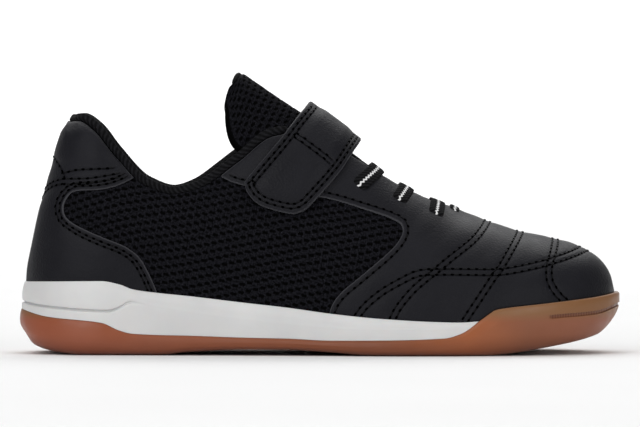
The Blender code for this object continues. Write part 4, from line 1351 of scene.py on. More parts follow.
def ringed(rings, bottom, top, marks=((),)):
    """(points, faces, marks) of a closed form: rings one over the other, with a grid across the first and
    the last. Marks are values on the points of the first rings, and 0 on the rest."""
    count = len(rings[0])
    wall = grid_quads(len(rings), count, wrap=True)
    start = len(rings) * count
    low = grid_quads(*bottom.shape[:2]) + start
    high = grid_quads(*top.shape[:2]) + start + bottom.shape[0] * bottom.shape[1]
    points = np.concatenate([np.concatenate(rings), bottom.reshape(-1, 3), top.reshape(-1, 3)])
    marks = np.concatenate(marks)
    marks = np.pad(marks, (0, len(points) - len(marks)))
    points, quads, kept = weld(points, np.concatenate([turned(wall), turned(low), high]))
    return points, quads, marks[kept]


def gum_top(x):
    """Top edge of the gum, from its table."""
    return along(SOLE_TOP, "gum", x)


def foam_top(x):
    """Top edge of the foam, from its table."""
    return along(SOLE_TOP, "foam", x)


def tread(x):
    """Height of the tread, from its table."""
    return along(SOLE, "tread", x)


def fullest(x):
    """Height of the gum's fullest line."""
    return tread(x) + along(SOLE, "full", x) * (gum_top(x) - tread(x))


# %% Side of the gum
SIDE_POWER = 3.0
GROOVE_ROOM = (1.2, 0.4)  # the groove's line keeps this far over the tread and under the fullest line
GROOVE_SHARES = (0.02, 0.98)
MEAN_PLACES = np.linspace(20, 185, 40)  # an offset has the mean angle of these places


def toe_groove(x):
    """1 along the groove round the toe, 0 behind its start."""
    return fade(x, *TOE_GROOVE_START)


def gum_side_turn(x, share_up):
    """Angle on the side's quarter oval at the toe groove's lower (-0.5) or upper (0.5) edge."""
    low = np.minimum(tread(x) + GROOVE_ROOM[0], fullest(x) - GROOVE_ROOM[1])
    line = low + along(SOLE, "groove", x) * (fullest(x) - low) + share_up * TOE_GROOVE_HEIGHT
    share = np.clip((fullest(x) - line) / (fullest(x) - tread(x)), *GROOVE_SHARES)
    return np.arccos(share ** (SIDE_POWER / 2))


def gum_side(step, from_groove):
    """(offset, height of x) of a ring of the side. Offsets and heights follow a quarter oval of a power; the
    angle is a share of the way to the groove's lower edge, or from its upper edge to the fullest line."""

    def turn(x):
        start, end = (gum_side_turn(x, 0.5), np.pi / 2) if from_groove else (0.0, gum_side_turn(x, -0.5))
        return start + (end - start) * step

    def height(x):
        return fullest(x) - (fullest(x) - tread(x)) * np.cos(turn(x)).clip(0) ** (2 / SIDE_POWER)

    middle = float(np.mean(turn(MEAN_PLACES)))
    return TREAD_INSET + (FLARE - TREAD_INSET) * np.sin(middle) ** (2 / SIDE_POWER), height


print(f"toe groove {gum_side(1.0, False)[1](TOE_END):.1f} mm over the floor at the tip")

# %% Gum outsole
LOWER_STEPS = (0.0, 0.12, 0.25, 0.4, 0.55, 0.7, 0.85, 0.94, 0.985, 1.0)  # up to the groove
UPPER_STEPS = (0.0, 0.02, 0.15, 0.35, 0.6, 0.8, 1.0)  # and from there to the fullest line
GUM_LIP = ((3.0, 0.55), (2.75, 0.88), (2.5, 0.98), (2.2, 1.0), (1.2, 1.0))  # offset, share of the way up
TREAD_COLUMNS, FLOOR_COLUMNS = 41, 5


def make_outsole():
    """Tread, side, groove, lip and the floor inside, from rings; slots are steps in the tread's grid."""
    rings, grooved = [], []
    for step, from_groove in [*((s, False) for s in LOWER_STEPS), *((s, True) for s in UPPER_STEPS)]:
        offset, height = gum_side(step, from_groove)
        at_groove = float(step == 1.0 - from_groove)
        rings.append(ring(offset, height, slotted_x, lambda x: at_groove * TOE_GROOVE_DEPTH * toe_groove(x)))
        grooved.append(at_groove * toe_groove(rings[-1][:, 0]))
    for offset, share in GUM_LIP:
        rings.append(ring(offset, lambda x: fullest(x) + share * (gum_top(x) - fullest(x)), slotted_x))
    rings.append(ring(CUP_GAP, lambda x: np.minimum(along(BASE, "floor", x), gum_top(x)), slotted_x))
    bottom, top = across(rings[0], TREAD_COLUMNS), across(rings[-1], FLOOR_COLUMNS)
    gap = np.abs(slotted_x[:, None] - np.array(TREAD_SLOTS)[None]).min(axis=1)
    margin = np.minimum(bottom[..., 1] - bottom[:, :1, 1], bottom[:, -1:, 1] - bottom[..., 1])
    in_slot = (gap < TREAD_SLOT / 2)[:, None] & (margin > TREAD_MARGIN + TREAD_INSET)
    bottom[..., 2] += np.where(in_slot, TREAD_DEPTH, 0)
    points, quads, groove = ringed(rings, bottom, top, grooved)
    return add_piece("gum_sole", points, quads, make_gum_finish(), "gum_rubber", ["outsole"], groove=groove)


outsole = make_outsole()


# %% White midsole
FOAM_FOOT, FOAM_STEP, FOAM_SIDE = 2.3, 2.55, 2.45  # offsets of the lowest ring, the step and the side over it
FOOT_BELOW, FOOT_HIGHEST = 2.5, 9.0  # the lowest ring under the gum's top, or under this height
FOOT_RISE, FOOT_CROWDING = 0.6, 4  # the step's rings draw together over the lowest one
STEP_RINGS = table(
    "drop share",
    *((1.6, 0.0), (0.9, 0.0), (0.55, 0.1), (0.3, 0.5)),
    *((0.1, 0.95), (-0.1, 1.0), (-0.3, 0.7), (-0.55, 0.25)),
)
SIDE_RINGS = (0.2, 0.35, 0.5, 0.65, 0.8, 0.9, 0.96)  # shares of the way from the step to the top
TOP_RINGS = ((1.42, 0.12), (1.3, 0.0), (0.95, 0.0))  # offset, drop from the top
FLOOR_DROP = 2.0
FOOT_COLUMNS = 3


def step_line(x):
    """Line of the step under the heel panel, from its table."""
    return along(HEEL_PANEL, "z", x)


def step_depth(x):
    """Depth of the step, which runs out in front of the heel."""
    return along(HEEL_PANEL, "depth", x)


def foam_foot(x):
    """Lowest line of the foam, inside the gum's cup."""
    return np.minimum(gum_top(x), FOOT_HIGHEST) - FOOT_BELOW


def foam_floor(x):
    """Floor inside the foam: the last's, kept under the foam's top."""
    return np.minimum(along(BASE, "floor", x), foam_top(x) - FLOOR_DROP)


def make_midsole():
    """Rings up the foam's side, dented at the step, over a roll at the top and down to the floor inside."""
    rings, grooved = [ring(FOAM_FOOT, foam_foot, side_x)], [np.zeros(2 * len(side_x) - 2)]
    for drop, share in zip(*STEP_RINGS.values()):
        least = FOOT_RISE - drop / FOOT_CROWDING
        rings.append(
            ring(
                FOAM_STEP,
                lambda x: np.maximum(step_line(x) - drop, foam_foot(x) + least),
                side_x,
                lambda x: share * step_depth(x),
            )
        )
        grooved.append(share * np.minimum(step_depth(rings[-1][:, 0]), 1))
    for share in SIDE_RINGS:
        rings.append(
            ring(
                FOAM_SIDE - share**3,
                lambda x: step_line(x) + share * (foam_top(x) - step_line(x)),
                side_x,
            )
        )
    for offset, drop in TOP_RINGS:
        rings.append(ring(offset, lambda x: foam_top(x) - drop, side_x))
    rings.append(ring(CUP_GAP, foam_floor, side_x))
    bottom, top = across(rings[0], FOOT_COLUMNS), across(rings[-1], FLOOR_COLUMNS)
    points, quads, groove = ringed(rings, bottom, top, grooved)
    foam = make_foam_finish()
    return add_piece("foam_wedge", points, quads, foam, "white_foam", ["midsole"], groove=groove)


# %% Trim the foam along the gum
CUTTER_REACH, CUTTER_MARGIN, CUTTER_POINTS = 130.0, 8.0, 220
TRIM_GAP = 0.05
SHARP_FOAM, SHARP_GUM = np.radians(40), np.radians(42)


def trim_above(piece, line):
    """Keep what lies above a side-view line: a Boolean with a block whose lower side is the line."""
    outline = np.concatenate([line, [(line[-1, 0], CUTTER_REACH), (line[0, 0], CUTTER_REACH)]])
    count = len(outline)
    near, far = (np.insert(outline, 1, y, axis=1) for y in (-CUTTER_REACH, CUTTER_REACH))
    sides = [(k, (k + 1) % count, count + (k + 1) % count, count + k) for k in range(count)]
    mesh = bpy.data.meshes.new("above_gum")
    ends = [list(range(count))[::-1], list(range(count, 2 * count))]
    mesh.from_pydata(to_frame(np.concatenate([near, far])).tolist(), [], ends + sides)
    block = bpy.data.objects.new("above_gum", mesh)
    bpy.context.scene.collection.objects.link(block)
    mesh.update()
    trim = piece.modifiers.new("above gum", "BOOLEAN")
    trim.operation, trim.solver, trim.object = "INTERSECT", "EXACT", block
    trimmed = bpy.data.meshes.new_from_object(piece.evaluated_get(bpy.context.evaluated_depsgraph_get()))
    piece.modifiers.clear()
    piece.data = trimmed
    bpy.data.objects.remove(block)
    print(f"{piece.name} trimmed: {len(trimmed.polygons)} faces")


midsole = make_midsole()
gum_x = np.linspace(-CUTTER_MARGIN, LENGTH + CUTTER_MARGIN, CUTTER_POINTS)
trim_above(midsole, np.column_stack([gum_x, gum_top(gum_x) + TRIM_GAP]))
midsole.data.set_sharp_from_angle(angle=SHARP_FOAM)
outsole.data.set_sharp_from_angle(angle=SHARP_GUM)


# %% Insole
BED_GAP = 0.2
BED_EDGE = ((0.6, 0.0), (0.15, 0.25), (0.0, 0.8), (0.0, 2.3), (0.15, 2.75), (0.9, 3.0))  # inset, rise
BED_DIP, BED_DIP_WIDTH = 1.1, 12.0
BED_COLUMNS = 31


def make_insole():
    """Foot bed inside the wall: rounded edge rings, and a top that dips as half an oval from its edges."""
    inside = -(WALL + CLEARANCE + BED_GAP)
    rings = [
        ring(inside - inset, lambda x: along(BASE, "floor", x) + CLEARANCE + rise, side_x)
        for inset, rise in BED_EDGE
    ]
    top = across(rings[-1], BED_COLUMNS)
    share = np.linspace(-1, 1, BED_COLUMNS)[None, :]
    dip = BED_DIP * (1 - share**2) ** 0.5
    top[..., 2] -= dip * fade(half_width(side_x, "medial"), 0, BED_DIP_WIDTH)[:, None]
    points, quads, _ = ringed(rings, across(rings[0], FOOT_COLUMNS), top)
    add_piece("foot_bed", points, quads, make_lining_finish(), "black_knit", ["insole"], uv=points[:, :2])


make_insole()

# %% [markdown]
# ## Strap
# A hook-and-loop strap crosses the instep. It bridges the eyestays, so it lies on a form of its own: the
# last, raised to the strap's top line over the instep. Its outline is a line on the side view, down the
# front edge, round the free end and up the rear edge, and the strap is cut from the form's grid as the
# panels are. Two rows of stitches run inside the edges and two cross it where the hook tab begins.

# %% The form that the strap lies on
BAND_LIFT = 1.6  # strap and laces lie over the panels
STRAP_THICK = 2.0
STRAP_TOP = table("x z", (70.0, 107.6), (99.4, 85.8), (116.8, 72.9), (124.0, 67.6))
STRAP_REACH, STRAP_HOLLOW = 8.0, -1.0  # how far past the throat the form is raised, or let down
TOP_SLANT = 1.2  # a thickness measured upright on the sloping instep, for one measured square to it
STRAP_EDGE = (
    (130.0, 89.9),
    (116.7, 72.8),
    (110.1, 63.3),
    (103.6, 55.8),
    (98.0, 49.9),
    (95.4, 48.6),
    (92.8, 48.1),
    (84.9, 49.9),
    (80.4, 52.2),
    (77.7, 55.4),
    (77.1, 58.0),
    (77.9, 60.2),
    (88.6, 72.9),
    (96.0, 82.4),
    (108.4, 96.8),
)
HOOK_SEAM, HOOK_GAPS = ((94.5, 74.3), (106.8, 65.1)), (-0.75, 0.75)  # two rows beside a line
STRAP_INSETS = (1.6, 3.1)
STRAP_SPAN = (66.0, 128.0)  # along the shoe


def raised_form(rise, reach):
    """(grid, normals) of the last with its top raised: the rise fades to the sides as (1 - r squared)
    squared, r being the share of the reach from the middle."""
    grid = last.copy()
    share = np.abs(grid[..., 1] - along(PLAN, "centre", station_x)[:, None]) / reach[:, None]
    grid[..., 2] += rise[:, None] * (1 - np.minimum(share, 1) ** 2) ** 2
    return grid, grid_normals(grid)


strap_rise = along(STRAP_TOP, "z", station_x) - last[:, MIDDLE, 2] - (BAND_LIFT + STRAP_THICK) * TOP_SLANT
strap_reach = along(OPENING, "half", station_x) + np.where(strap_rise < 0, STRAP_HOLLOW, STRAP_REACH)
strap_form = raised_form(strap_rise, strap_reach)
strap_face = strap_form[0] + strap_form[1] * (BAND_LIFT + STRAP_THICK)
strap_line = curve_through(STRAP_EDGE, LINE_STEP)
strap_inside = -distance_left(strap_face[..., [0, 2]], strap_line)
strap_inside[(station_x <= STRAP_SPAN[0]) | (station_x >= STRAP_SPAN[1])] = -FAR_INSIDE
print(f"strap: edge {running(strap_line)[-1]:.0f} mm round a side")


# %% Rows of stitches on the strap
PLACE_ROUNDS = 3
UNDER_TOP = 0.4  # the rows end this far under the strap's top line


def strap_place(line, side):
    """Places of a side-view line on the strap's face: as on the last, then corrected twice for the way
    that the lift has moved the points along the shoe."""
    x = line[:, 0]
    for _ in range(PLACE_ROUNDS):
        i, j = side_place(x, line[:, 1], side, strap_face)
        x = x + line[:, 0] - between(strap_face[..., 0], i, j)
    return i, j


def below_top(line):
    """The stretch of a strap line that lies on its sides."""
    return line[line[:, 1] < along(STRAP_TOP, "z", line[:, 0]) - UNDER_TOP]


strap_rows = [below_top(beside(strap_line, -inset)) for inset in STRAP_INSETS]
strap_rows += [below_top(beside(curve_through(HOOK_SEAM, SEAM_STEP), gap)) for gap in HOOK_GAPS]
strap_seams = [between(strap_face, *strap_place(row, side)) for row in strap_rows for side in SIDES]
print("strap seams:", [len(seam) for seam in strap_seams])


# %% Make the strap
STRAP_PUFF, STRAP_PUFF_RISE = 0.5, (3.2, 7.0)  # it swells inside its edge rows
STRAP_GROOVE, STRAP_GROOVE_WIDTH = 0.28, 0.5
STRAP_ROLL, STRAP_FOOT = 0.8, 0.62  # how its edge is rounded


def make_strap():
    """Outer and inner layers cut from the raised form, the outer one swelling between its seams."""
    i, j, quads, depth = cut_panel(strap_inside, (2, 2))
    base = between(strap_face, i, j)
    gap = nearest_distance(base, strap_seams)
    puff = STRAP_PUFF * fade(depth, *STRAP_PUFF_RISE)
    relief = (puff - STRAP_GROOVE * np.exp(-((gap / STRAP_GROOVE_WIDTH) ** 2))) * near_edge(depth)
    lift = BAND_LIFT + STRAP_THICK * edge_roll(depth, STRAP_ROLL, STRAP_FOOT) + relief
    outer, inner = on_form(strap_form, i, j, lift), on_form(strap_form, i, j, BAND_LIFT)
    add_leather("strap_band", "strap", outer, inner, quads, depth)


make_strap()

# %% [markdown]
# ## Tongue
# The padded tongue runs from under the vamp up through the throat and stands above the collar. It is a
# profile carried along the instep line: an arch across, dropping to the sides, with padding that swells
# where the throat lets it. Outer and inner faces meet in a rounded edge with a seam just inside it, and
# the outer face has the same mesh as the quarters.

# %% Face of the tongue
TONGUE = table(
    "s x z half drop lean swell throat",
    (0.0, 155.0, 42.7, 10.0, 1.6, 0.0, 0.0, 6.0),
    (0.1, 146.5, 45.3, 12.0, 2.6, 0.0, 0.0, 6.0),
    (0.2, 138.0, 51.7, 14.0, 3.4, 0.0, 2.6, 7.0),
    (0.32, 128.0, 59.0, 15.5, 4.6, 0.0, 2.7, 9.5),
    (0.48, 114.5, 69.4, 16.0, 7.5, 0.0, 3.0, 11.0),
    (0.68, 97.0, 81.4, 14.5, 15.0, 1.0, 2.6, 11.0),
    (0.8, 88.0, 87.3, 13.8, 23.5, 1.5, 0.8, 11.0),
    (0.92, 80.0, 92.8, 14.5, 15.0, 2.4, 0.0, 11.0),
    (1.0, 75.7, 95.5, 12.0, 6.0, 2.6, 0.0, 11.0),
    (1.05, 73.7, 95.9, 11.6, 5.4, 2.6, 0.0, 11.0),
)
TONGUE_END = TONGUE["s"][-1]
TONGUE_TURN = np.pi / 2 * 0.96
SLOPE_STEPS = np.array([-0.004, 0.004])  # in s
SWELL_START = 0.2  # from the middle


def tongue_face(s, turn):
    """Outer face on two grids: s runs up the instep line, turn across the arch. Across is the half-width
    times sin, the drop square to the line grows as 1 - cos, and the swelling leaves the throat's middle."""
    x, z, half, drop, lean, swell, throat = (along(TONGUE, name, s, key="s") for name in list(TONGUE)[1:])
    ends = np.clip(s[..., None] + SLOPE_STEPS, TONGUE["s"][0], TONGUE_END)
    slope = unit(np.stack([np.diff(along(TONGUE, name, ends, key="s"))[..., 0] for name in "xz"], axis=-1))
    back, up = slope[..., 0], slope[..., 1]
    across, sides = np.sin(turn) * half, 1 - np.cos(turn)
    fall = drop * sides + swell * fade(np.abs(across), SWELL_START, throat)
    y = along(PLAN, "centre", x) + across
    return np.stack([x - fall * up + lean * sides * back, y, z + fall * back + lean * sides * up], axis=-1)


# %% Make the tongue
TONGUE_GRID, EASE_ROUNDS = (284, 121), 40
TONGUE_THICK, TONGUE_TIP, TIP_FADE = 4.2, 2.8, (1, 12)  # thinner at the top
TONGUE_CORNER, CORNER_START = 0.045, 0.8  # how far its corners are rounded off, in s
TONGUE_SEAM, SEAM_DENT, SEAM_DENT_WIDTH = 2.2, 0.4, 0.5  # from the edge, depth, width
TONGUE_HOLES, TONGUE_HOLE_DEPTH = (0.3, 1.3), 0.4  # where they begin, inside the seam
RIM_SHADE_FADE = 0.7  # the plain edge outside the seam is painted dark as shade, which fades out over this much before the seam
TONGUE_DENT, DENT_X, DENT_FADE = 1.5, ((104, 112), (144, 150)), (3, 10)  # where the laces press on it


def eased(normals, rounds):
    """Normals averaged with their four neighbours, so that a tight corner can be padded without folding."""
    for _ in range(rounds):
        wide = np.pad(normals, ((1, 1), (1, 1), (0, 0)), mode="edge")
        normals = unit(wide[2:, 1:-1] + wide[:-2, 1:-1] + wide[1:-1, 2:] + wide[1:-1, :-2])
    return normals


def tongue_grid():
    """(face, normals) of the tongue's outer face, its two top corners rounded off by a cube of the share."""
    rows, columns = TONGUE_GRID
    s, share = np.meshgrid(np.linspace(0, TONGUE_END, rows), np.linspace(-1, 1, columns), indexing="ij")
    s = s - TONGUE_CORNER * fade(s, CORNER_START, TONGUE_END) * np.abs(share) ** 3
    face = tongue_face(s, share * TONGUE_TURN)
    normals = grid_normals(face)
    middle = normals[:, columns // 2 : columns // 2 + 1, 2:]
    return face, eased(normals * np.sign(middle), EASE_ROUNDS)


def make_tongue():
    """Outer face with mesh dents and an edge seam, inner face one thickness in, drawn together at the rim.
    The way in from the rim is a soft least of the ways from its sides and its top. The plain rim outside the
    seam and the whole inner face are near black, as painted shade."""
    face, normals = tongue_grid()
    up, over = running(face), running(face.swapaxes(0, 1)).T
    beside_rim, under_rim = np.minimum(over, over[:, -1:] - over), up[-1:] - up
    rim = (np.maximum(beside_rim, 1e-3) ** -4 + np.maximum(under_rim, 1e-3) ** -4) ** -0.25
    centred = over - over[:, -1:] / 2
    hole = hole_depth(centred, up) * fade(rim - TONGUE_SEAM, *TONGUE_HOLES)
    pressed = TONGUE_DENT * hump(face[..., 0], *DENT_X) * (1 - fade(np.abs(centred), *DENT_FADE))
    thick = TONGUE_TIP + (TONGUE_THICK - TONGUE_TIP) * fade(under_rim, *TIP_FADE)
    round_in = thick / 2 * (1 - rounded(rim, thick / 2, 2))
    seam = SEAM_DENT * np.exp(-(((rim - TONGUE_SEAM) / SEAM_DENT_WIDTH) ** 2))
    outer = face - normals * (round_in + seam + pressed + TONGUE_HOLE_DEPTH * hole)[..., None]
    inner = face - normals * (thick - round_in)[..., None]
    points, quads = shell(outer.reshape(-1, 3), inner.reshape(-1, 3), turned(grid_quads(*TONGUE_GRID)))
    maps = np.tile(np.stack([up, centred], axis=-1).reshape(-1, 2), (2, 1))
    # painted shade: the plain rim and the inner face take the near black of the holes
    lining = 1 - fade(rim, TONGUE_SEAM - RIM_SHADE_FADE, TONGUE_SEAM)
    holes = np.concatenate([np.maximum(hole, lining).ravel(), np.ones(hole.size)])
    return add_piece("tongue_pad", points, quads, mesh_finish, "black_mesh", ["tongue"], uv=maps, hole=holes)


tongue = make_tongue()

# %% [markdown]
# ## Laces
# A flat elastic lace, knitted in black with a white zigzag along its middle, crosses the throat three
# times. Each bar lies in a plane square to the side view, so its path is where that plane cuts a form: in
# every row of the grid, the place along the shoe where the plane is crossed. A flat oval is carried along
# the path and dives into the panel at both ends, where the punched slits are. A last short bit shows at
# the front of the throat. Beyond the slits the lace is hidden, so it ends there.

# %% Finish of the lace
ZIGZAG = 0.7  # millimetres from a left turn to a right turn


def make_lace_finish():
    """Black knit with a white zigzag: white where the map's across lies near a to-and-fro line along it."""
    finish, tree, shader = new_finish("black lace", 0.9, Specular_IOR_Level=0.1)
    place = map_place(tree)
    parts = add_node(tree, "SeparateXYZ", {"Vector": place}).outputs
    swing = add_node(tree, "Math", {0: parts["X"], 1: ZIGZAG}, operation="PINGPONG").outputs[0]
    line = remap(tree, swing, -0.32, 0.32, 0.0, ZIGZAG)
    gap = add_node(tree, "Math", {0: parts["Y"], 1: line}, operation="SUBTRACT").outputs[0]
    gap = add_node(tree, "Math", {0: gap}, operation="ABSOLUTE").outputs[0]
    white = remap(tree, gap, 1.0, 0.0, 0.28, 0.42)
    ribs, rows = wave(tree, place, 0.4, "DIAGONAL"), wave(tree, place, 0.36, "Y")
    black = ramp(tree, ribs, (0.2, srgb(4, 4, 5)), (0.8, srgb(24, 24, 26)))
    link(tree, shader, Base_Color=mix(tree, white, black, srgb(232, 232, 232)))
    bump(tree, shader, (ribs, 0.5, 0.25), (rows, 0.5, 0.25), (white, 0.5, 0.2))
    return finish


lace_finish = make_lace_finish()

# %% Paths of the bars
LACE_THICK = 0.9
LACE_SAG = -0.32  # by the throat's half-width
LACES = table(
    "x z top_x top_z width lift",
    (114.3, 55.9, 121.7, 62.4, 5.4, 1.15),
    (128.1, 50.9, 131.5, 55.5, 5.4, 1.15),
    (141.1, 45.9, 142.3, 51.7, 5.4, 1.15),
    (147.6, 47.2, 148.3, 50.2, 3.4, 1.0),
)
LACE_X, LACE_ROWS = (95.0, 170.0), 0.9  # the part of the form that bars are looked for in
LACE_STEP = 0.45

lace_form = raised_form(LACE_SAG * opening_half(station_x), np.maximum(opening_half(station_x) + 1, 1))


def even_steps(path, spacing, *others):
    """A path in even steps, with its running length and other arrays read at the same steps."""
    run = running(path)
    even = np.linspace(0, run[-1], max(int(run[-1] / spacing), 2) + 1)
    return even, *(read_along(run, even, part) for part in (path, *others))


def lace_path(low, top):
    """(running length, points, normals) of a bar: in each row of the grid the plane through low and top is
    crossed between two stations, and the rows from low on one side to low on the other are kept."""
    ahead = unit(top - low)
    square = np.array([ahead[1], -ahead[0]])
    first, end = (int(station_of(x)) for x in LACE_X)
    view = lace_form[0][first:end][..., [0, 2]]
    past = view @ square - low @ square
    below = np.clip((past < 0).sum(axis=0) - 1, 0, len(past) - 2)
    before, after = (np.take_along_axis(past, (below + k)[None], axis=0)[0] for k in (0, 1))
    i = first + below + before / (before - after)
    j = np.arange(len(arch_row), dtype=float)
    above = on_form(lace_form, i, j)[:, [0, 2]] @ ahead >= low @ ahead
    above &= np.abs(arch_row) < LACE_ROWS
    i, j = i[above], j[above]
    return even_steps(on_form(lace_form, i, j), LACE_STEP, unit(between(lace_form[1], i, j)))


# %% Make the laces
LACE_SIDES, LACE_POWER = 24, 2 / 3
LACE_DIVE, DIVE_DEPTH, LACE_END = 2.6, 2.9, 0.8  # length and depth of a dive, share of the width at its end
LACE_BACK = -0.1  # points lower than this in the oval are on its back
LACE_BARS = ["lace_bar_1", "lace_bar_2", "lace_bar_3"]


def make_laces():
    """Flat ovals along each path, lifted over the panels, diving and narrowing at the ends."""
    _, flat, thick = oval(LACE_SIDES, LACE_POWER)
    thick = thick * LACE_THICK / 2
    all_points, all_quads, maps, start = [], [], [], 0
    for x, z, top_x, top_z, width, lift in zip(*LACES.values()):
        run, path, normals = lace_path(np.array([x, z]), np.array([top_x, top_z]))
        end = np.minimum(run, run[-1] - run)
        sunk = DIVE_DEPTH * (1 - rounded(end, LACE_DIVE, 2))
        middle = path + normals * (lift + LACE_THICK / 2 - sunk)[:, None]
        ahead = unit(np.gradient(middle, axis=0))
        side = unit(np.cross(normals, ahead))
        up = np.cross(ahead, side)
        narrow = LACE_END + (1 - LACE_END) * fade(end, 0, LACE_DIVE)
        across = flat[None, :] * (narrow * width / 2)[:, None]
        points = middle[:, None] + side[:, None] * across[..., None] + up[:, None] * thick[None, :, None]
        shown = np.where(thick > LACE_BACK, across, np.sign(across) * (width - np.abs(across)))
        maps.append(np.stack(np.broadcast_arrays(run[:, None], shown), axis=-1).reshape(-1, 2))
        all_points.append(points.reshape(-1, 3))
        all_quads.append(turned(tube_quads(len(path), LACE_SIDES)) + start)
        start += len(all_points[-1])
    points, quads, maps = (np.concatenate(part) for part in (all_points, all_quads, maps))
    add_piece("laces", points, quads, lace_finish, "black_lace", LACE_BARS, uv=maps)


make_laces()

# %% [markdown]
# ## Stitches
# Every seam is a row of single stitches, each a small lens of thread between two needle holes, painted black
# as their shade. There are hundreds of equal shapes, so one lens of five rings is worked out for all places
# at
# once: the place along the row, the row's direction and the leather's normal give each its own axes. The
# holes are flatter, wider lenses, told apart by a value on their points.

# %% Make the stitches
STITCH_PITCH, STITCH_LENGTH, STITCH_WIDTH = 2.7, 2.5, 0.48
PRICK_LENGTH, PRICK_WIDTH = 1.4, 0.78  # a black lens of painted shade where the needle went through
STITCH_FLAT, PRICK_FLAT = 0.8, 0.6  # height by width
STITCH_RINGS, STITCH_SIDES = 5, 6
STITCH_RISE = 0.3
SHORTEST_ROW = 6  # points


def make_thread_finish():
    """Black thread, its twist a bump across it; the needle holes are near black, as painted shade."""
    finish, tree, shader = new_finish("black thread", 0.5)
    place = object_place(tree)
    black = ramp(tree, noise(tree, place, 900.0), (0.3, srgb(6, 6, 7)), (0.7, srgb(16, 16, 18)))
    # painted shade: the needle holes are near black, without gloss
    hole = stored(tree, "hole")
    link(tree, shader, Base_Color=mix(tree, hole, black, srgb(1, 1, 1)))
    link(tree, shader, Specular_IOR_Level=remap(tree, hole, 0.1, 0.0))
    bump(tree, shader, (wave(tree, place, 900.0, "DIAGONAL"), 0.3, 0.1))
    return finish


def lenses(middle, ahead, out, length, width, height):
    """Lenses at places with a direction and a normal: each ring's radius is the root of 1 - s squared, s
    running from -1 to 1 along the lens."""
    side = np.cross(out, ahead)
    s = np.sin(np.linspace(-np.pi / 2, np.pi / 2, STITCH_RINGS))
    turn = np.linspace(0, 2 * np.pi, STITCH_SIDES, endpoint=False)
    radius = np.sqrt(np.maximum(1 - s**2, 0))[:, None]
    lengthwise = (s * length / 2)[None, :, None, None] * ahead[:, None, None]
    sideways = (radius * np.cos(turn) * width / 2)[None, ..., None] * side[:, None, None]
    upright = (radius * np.sin(turn) * height / 2)[None, ..., None] * out[:, None, None]
    return middle[:, None, None] + lengthwise + sideways + upright


def row_of_stitches(path, normals):
    """(threads, holes) along a path: threads between even steps, holes at the steps."""
    _, path, normals = even_steps(path, STITCH_PITCH, normals)
    out = unit(normals[1:] + normals[:-1])
    ahead = unit(np.diff(path, axis=0))
    thread = STITCH_LENGTH, STITCH_WIDTH, STITCH_WIDTH * STITCH_FLAT
    prick = PRICK_LENGTH, PRICK_WIDTH, PRICK_WIDTH * PRICK_FLAT
    return lenses((path[1:] + path[:-1]) / 2, ahead, out, *thread), lenses(path[:-1], ahead, out, *prick)


def panel_seams(rows, relief):
    """(points, normals) of rows on a panel's face, sunk with its relief."""
    for row in rows:
        for i, j in seam_places(row):
            base = between(last, i, j)
            out = CLEARANCE + PANEL + relief(base, np.full(len(base), FAR_INSIDE))
            yield on_last(i, j, out + STITCH_RISE), unit(between(last_normals, i, j))


def strap_stitch_paths():
    """(points, normals) of the strap's rows, raised with its padding."""
    edges = [between(strap_face, *strap_place(below_top(strap_line), side)) for side in SIDES]
    for row in strap_rows:
        for side in SIDES:
            i, j = strap_place(row, side)
            puff = STRAP_PUFF * fade(nearest_distance(between(strap_face, i, j), edges), *STRAP_PUFF_RISE)
            out = BAND_LIFT + STRAP_THICK - STRAP_GROOVE + puff + STITCH_RISE
            yield on_form(strap_form, i, j, out), unit(between(strap_form[1], i, j))


def make_stitches():
    """All stitches of the shoe as one piece."""
    seams = [*panel_seams(vamp_rows, vamp_relief), *panel_seams(counter_rows, counter_relief)]
    seams += strap_stitch_paths()
    rows = [row_of_stitches(*seam) for seam in seams if len(seam[0]) > SHORTEST_ROW]
    threads, holes = (np.concatenate(part) for part in zip(*rows))
    points = np.concatenate([threads, holes])
    is_hole = np.repeat([0.0, 1.0], [threads[..., 0].size, holes[..., 0].size])
    one = grid_quads(STITCH_RINGS, STITCH_SIDES, wrap=True)
    quads = one[None] + (np.arange(len(points)) * STITCH_RINGS * STITCH_SIDES)[:, None, None]
    points, quads, kept = weld(points.reshape(-1, 3), turned(quads.reshape(-1, 4)))
    print(len(threads), "stitches")
    add_piece("stitches", points, quads, make_thread_finish(), "black_lace", hole=is_hole[kept])


make_stitches()

# %% [markdown]
# ## Stage and light
# The shoe stands on a plain pale floor that curves up into a backdrop far behind it, so that no edge shows.
# Large soft lamps light it: one above, for the soft gloss on the toe and instep, two in front, so that the
# side stays even, and a weak one behind. Two more keep floor and backdrop white. A dim white surround fills
# the shadows; a bright one would mist the black.

# %% Floor and backdrop
FLOOR_HALF = 6.0
FLOOR_NEAR = -0.5
BACKDROP_Y, BACKDROP_ROUND, BEND_PLACES = 4.2, 1.0, 17
FLOOR_TINTS = (0.3, (0.9, 0.9, 0.9, 1)), (0.7, (0.93, 0.93, 0.93, 1))


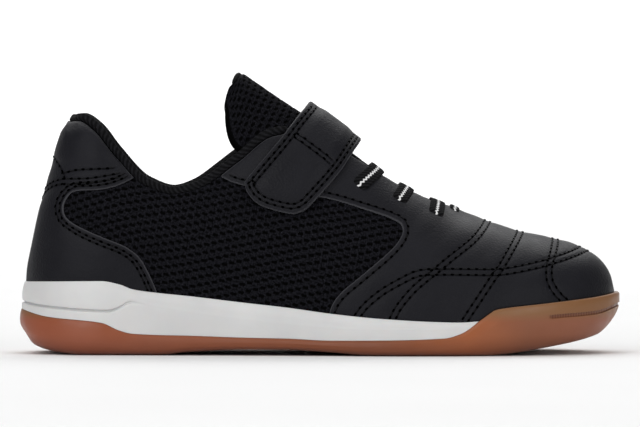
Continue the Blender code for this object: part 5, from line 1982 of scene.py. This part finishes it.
def make_floor():
    """A profile carried along x: flat floor, a quarter circle, then a straight wall."""
    turn = np.linspace(0, np.pi / 2, BEND_PLACES)
    bend = np.column_stack([BACKDROP_Y + np.sin(turn) * BACKDROP_ROUND, (1 - np.cos(turn)) * BACKDROP_ROUND])
    wall_y = BACKDROP_Y + BACKDROP_ROUND
    profile = np.concatenate([[(-FLOOR_HALF, 0), (FLOOR_NEAR, 0)], bend, [(wall_y, FLOOR_HALF)]])
    x = np.array([-FLOOR_HALF, 0, FLOOR_HALF])
    points = np.stack([np.repeat(x, len(profile)), *np.tile(profile.T, len(x))], axis=-1)
    mesh = bpy.data.meshes.new("floor")
    mesh.from_pydata(points.tolist(), [], grid_quads(len(x), len(profile)).tolist())
    mesh.shade_smooth()
    finish, tree, shader = new_finish("pale floor", 0.85)
    link(tree, shader, Base_Color=ramp(tree, noise(tree, object_place(tree), 3.0), *FLOOR_TINTS))
    mesh.materials.append(finish)
    floor = bpy.data.objects.new("floor", mesh)
    bpy.context.scene.collection.objects.link(floor)
    floor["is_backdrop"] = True


make_floor()

# %% Lamps and surround
SHOE_AIM = (0.0, 0.0, 0.04)
LAMPS = {
    "above": ((0.0, -0.15, 1.1), SHOE_AIM, (1.2, 0.8), 3.6),
    "front_left": ((-0.8, -1.3, 0.75), SHOE_AIM, (0.9, 0.9), 9.8),
    "front_right": ((0.9, -1.2, 0.6), SHOE_AIM, (0.7, 0.9), 6.1),
    "behind": ((0.0, 0.9, 0.9), SHOE_AIM, (1.4, 0.6), 1.0),
    "floor": ((0.0, 2.0, 1.8), (0.0, 2.0, 0.0), (2.6, 2.6), 46.0),
    "backdrop": ((0.0, 3.7, 1.4), (0.0, 4.9, 0.1), (2.0, 0.4), 26.0),
}
SURROUND = 0.22


def add_lamp(name, place, aim, size, power):
    """A soft rectangular lamp that faces its aim."""
    lamp = bpy.data.lights.new(name, "AREA")
    lamp.shape, lamp.energy = "RECTANGLE", power
    lamp.size, lamp.size_y = size
    made = bpy.data.objects.new(name, lamp)
    bpy.context.scene.collection.objects.link(made)
    made.location = place
    made.rotation_euler = (Vector(aim) - Vector(place)).to_track_quat("-Z", "Y").to_euler()


for lamp_name, lamp in LAMPS.items():
    add_lamp(lamp_name, *lamp)
studio = bpy.data.worlds.new("studio")
studio.use_nodes = True
studio.node_tree.nodes["Background"].inputs["Color"].default_value = (1, 1, 1, 1)
studio.node_tree.nodes["Background"].inputs["Strength"].default_value = SURROUND
bpy.context.scene.world = studio
bpy.context.scene.view_settings.view_transform = "Standard"
print(len(LAMPS), "lamps")

# %% Measure the boxes of the solids and of the dressed shoe
dressed_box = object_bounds()
boxes = {"solids": solid_box, "dressed": dressed_box}
{name: [[float(v) for v in corner] for corner in box] for name, box in boxes.items()}
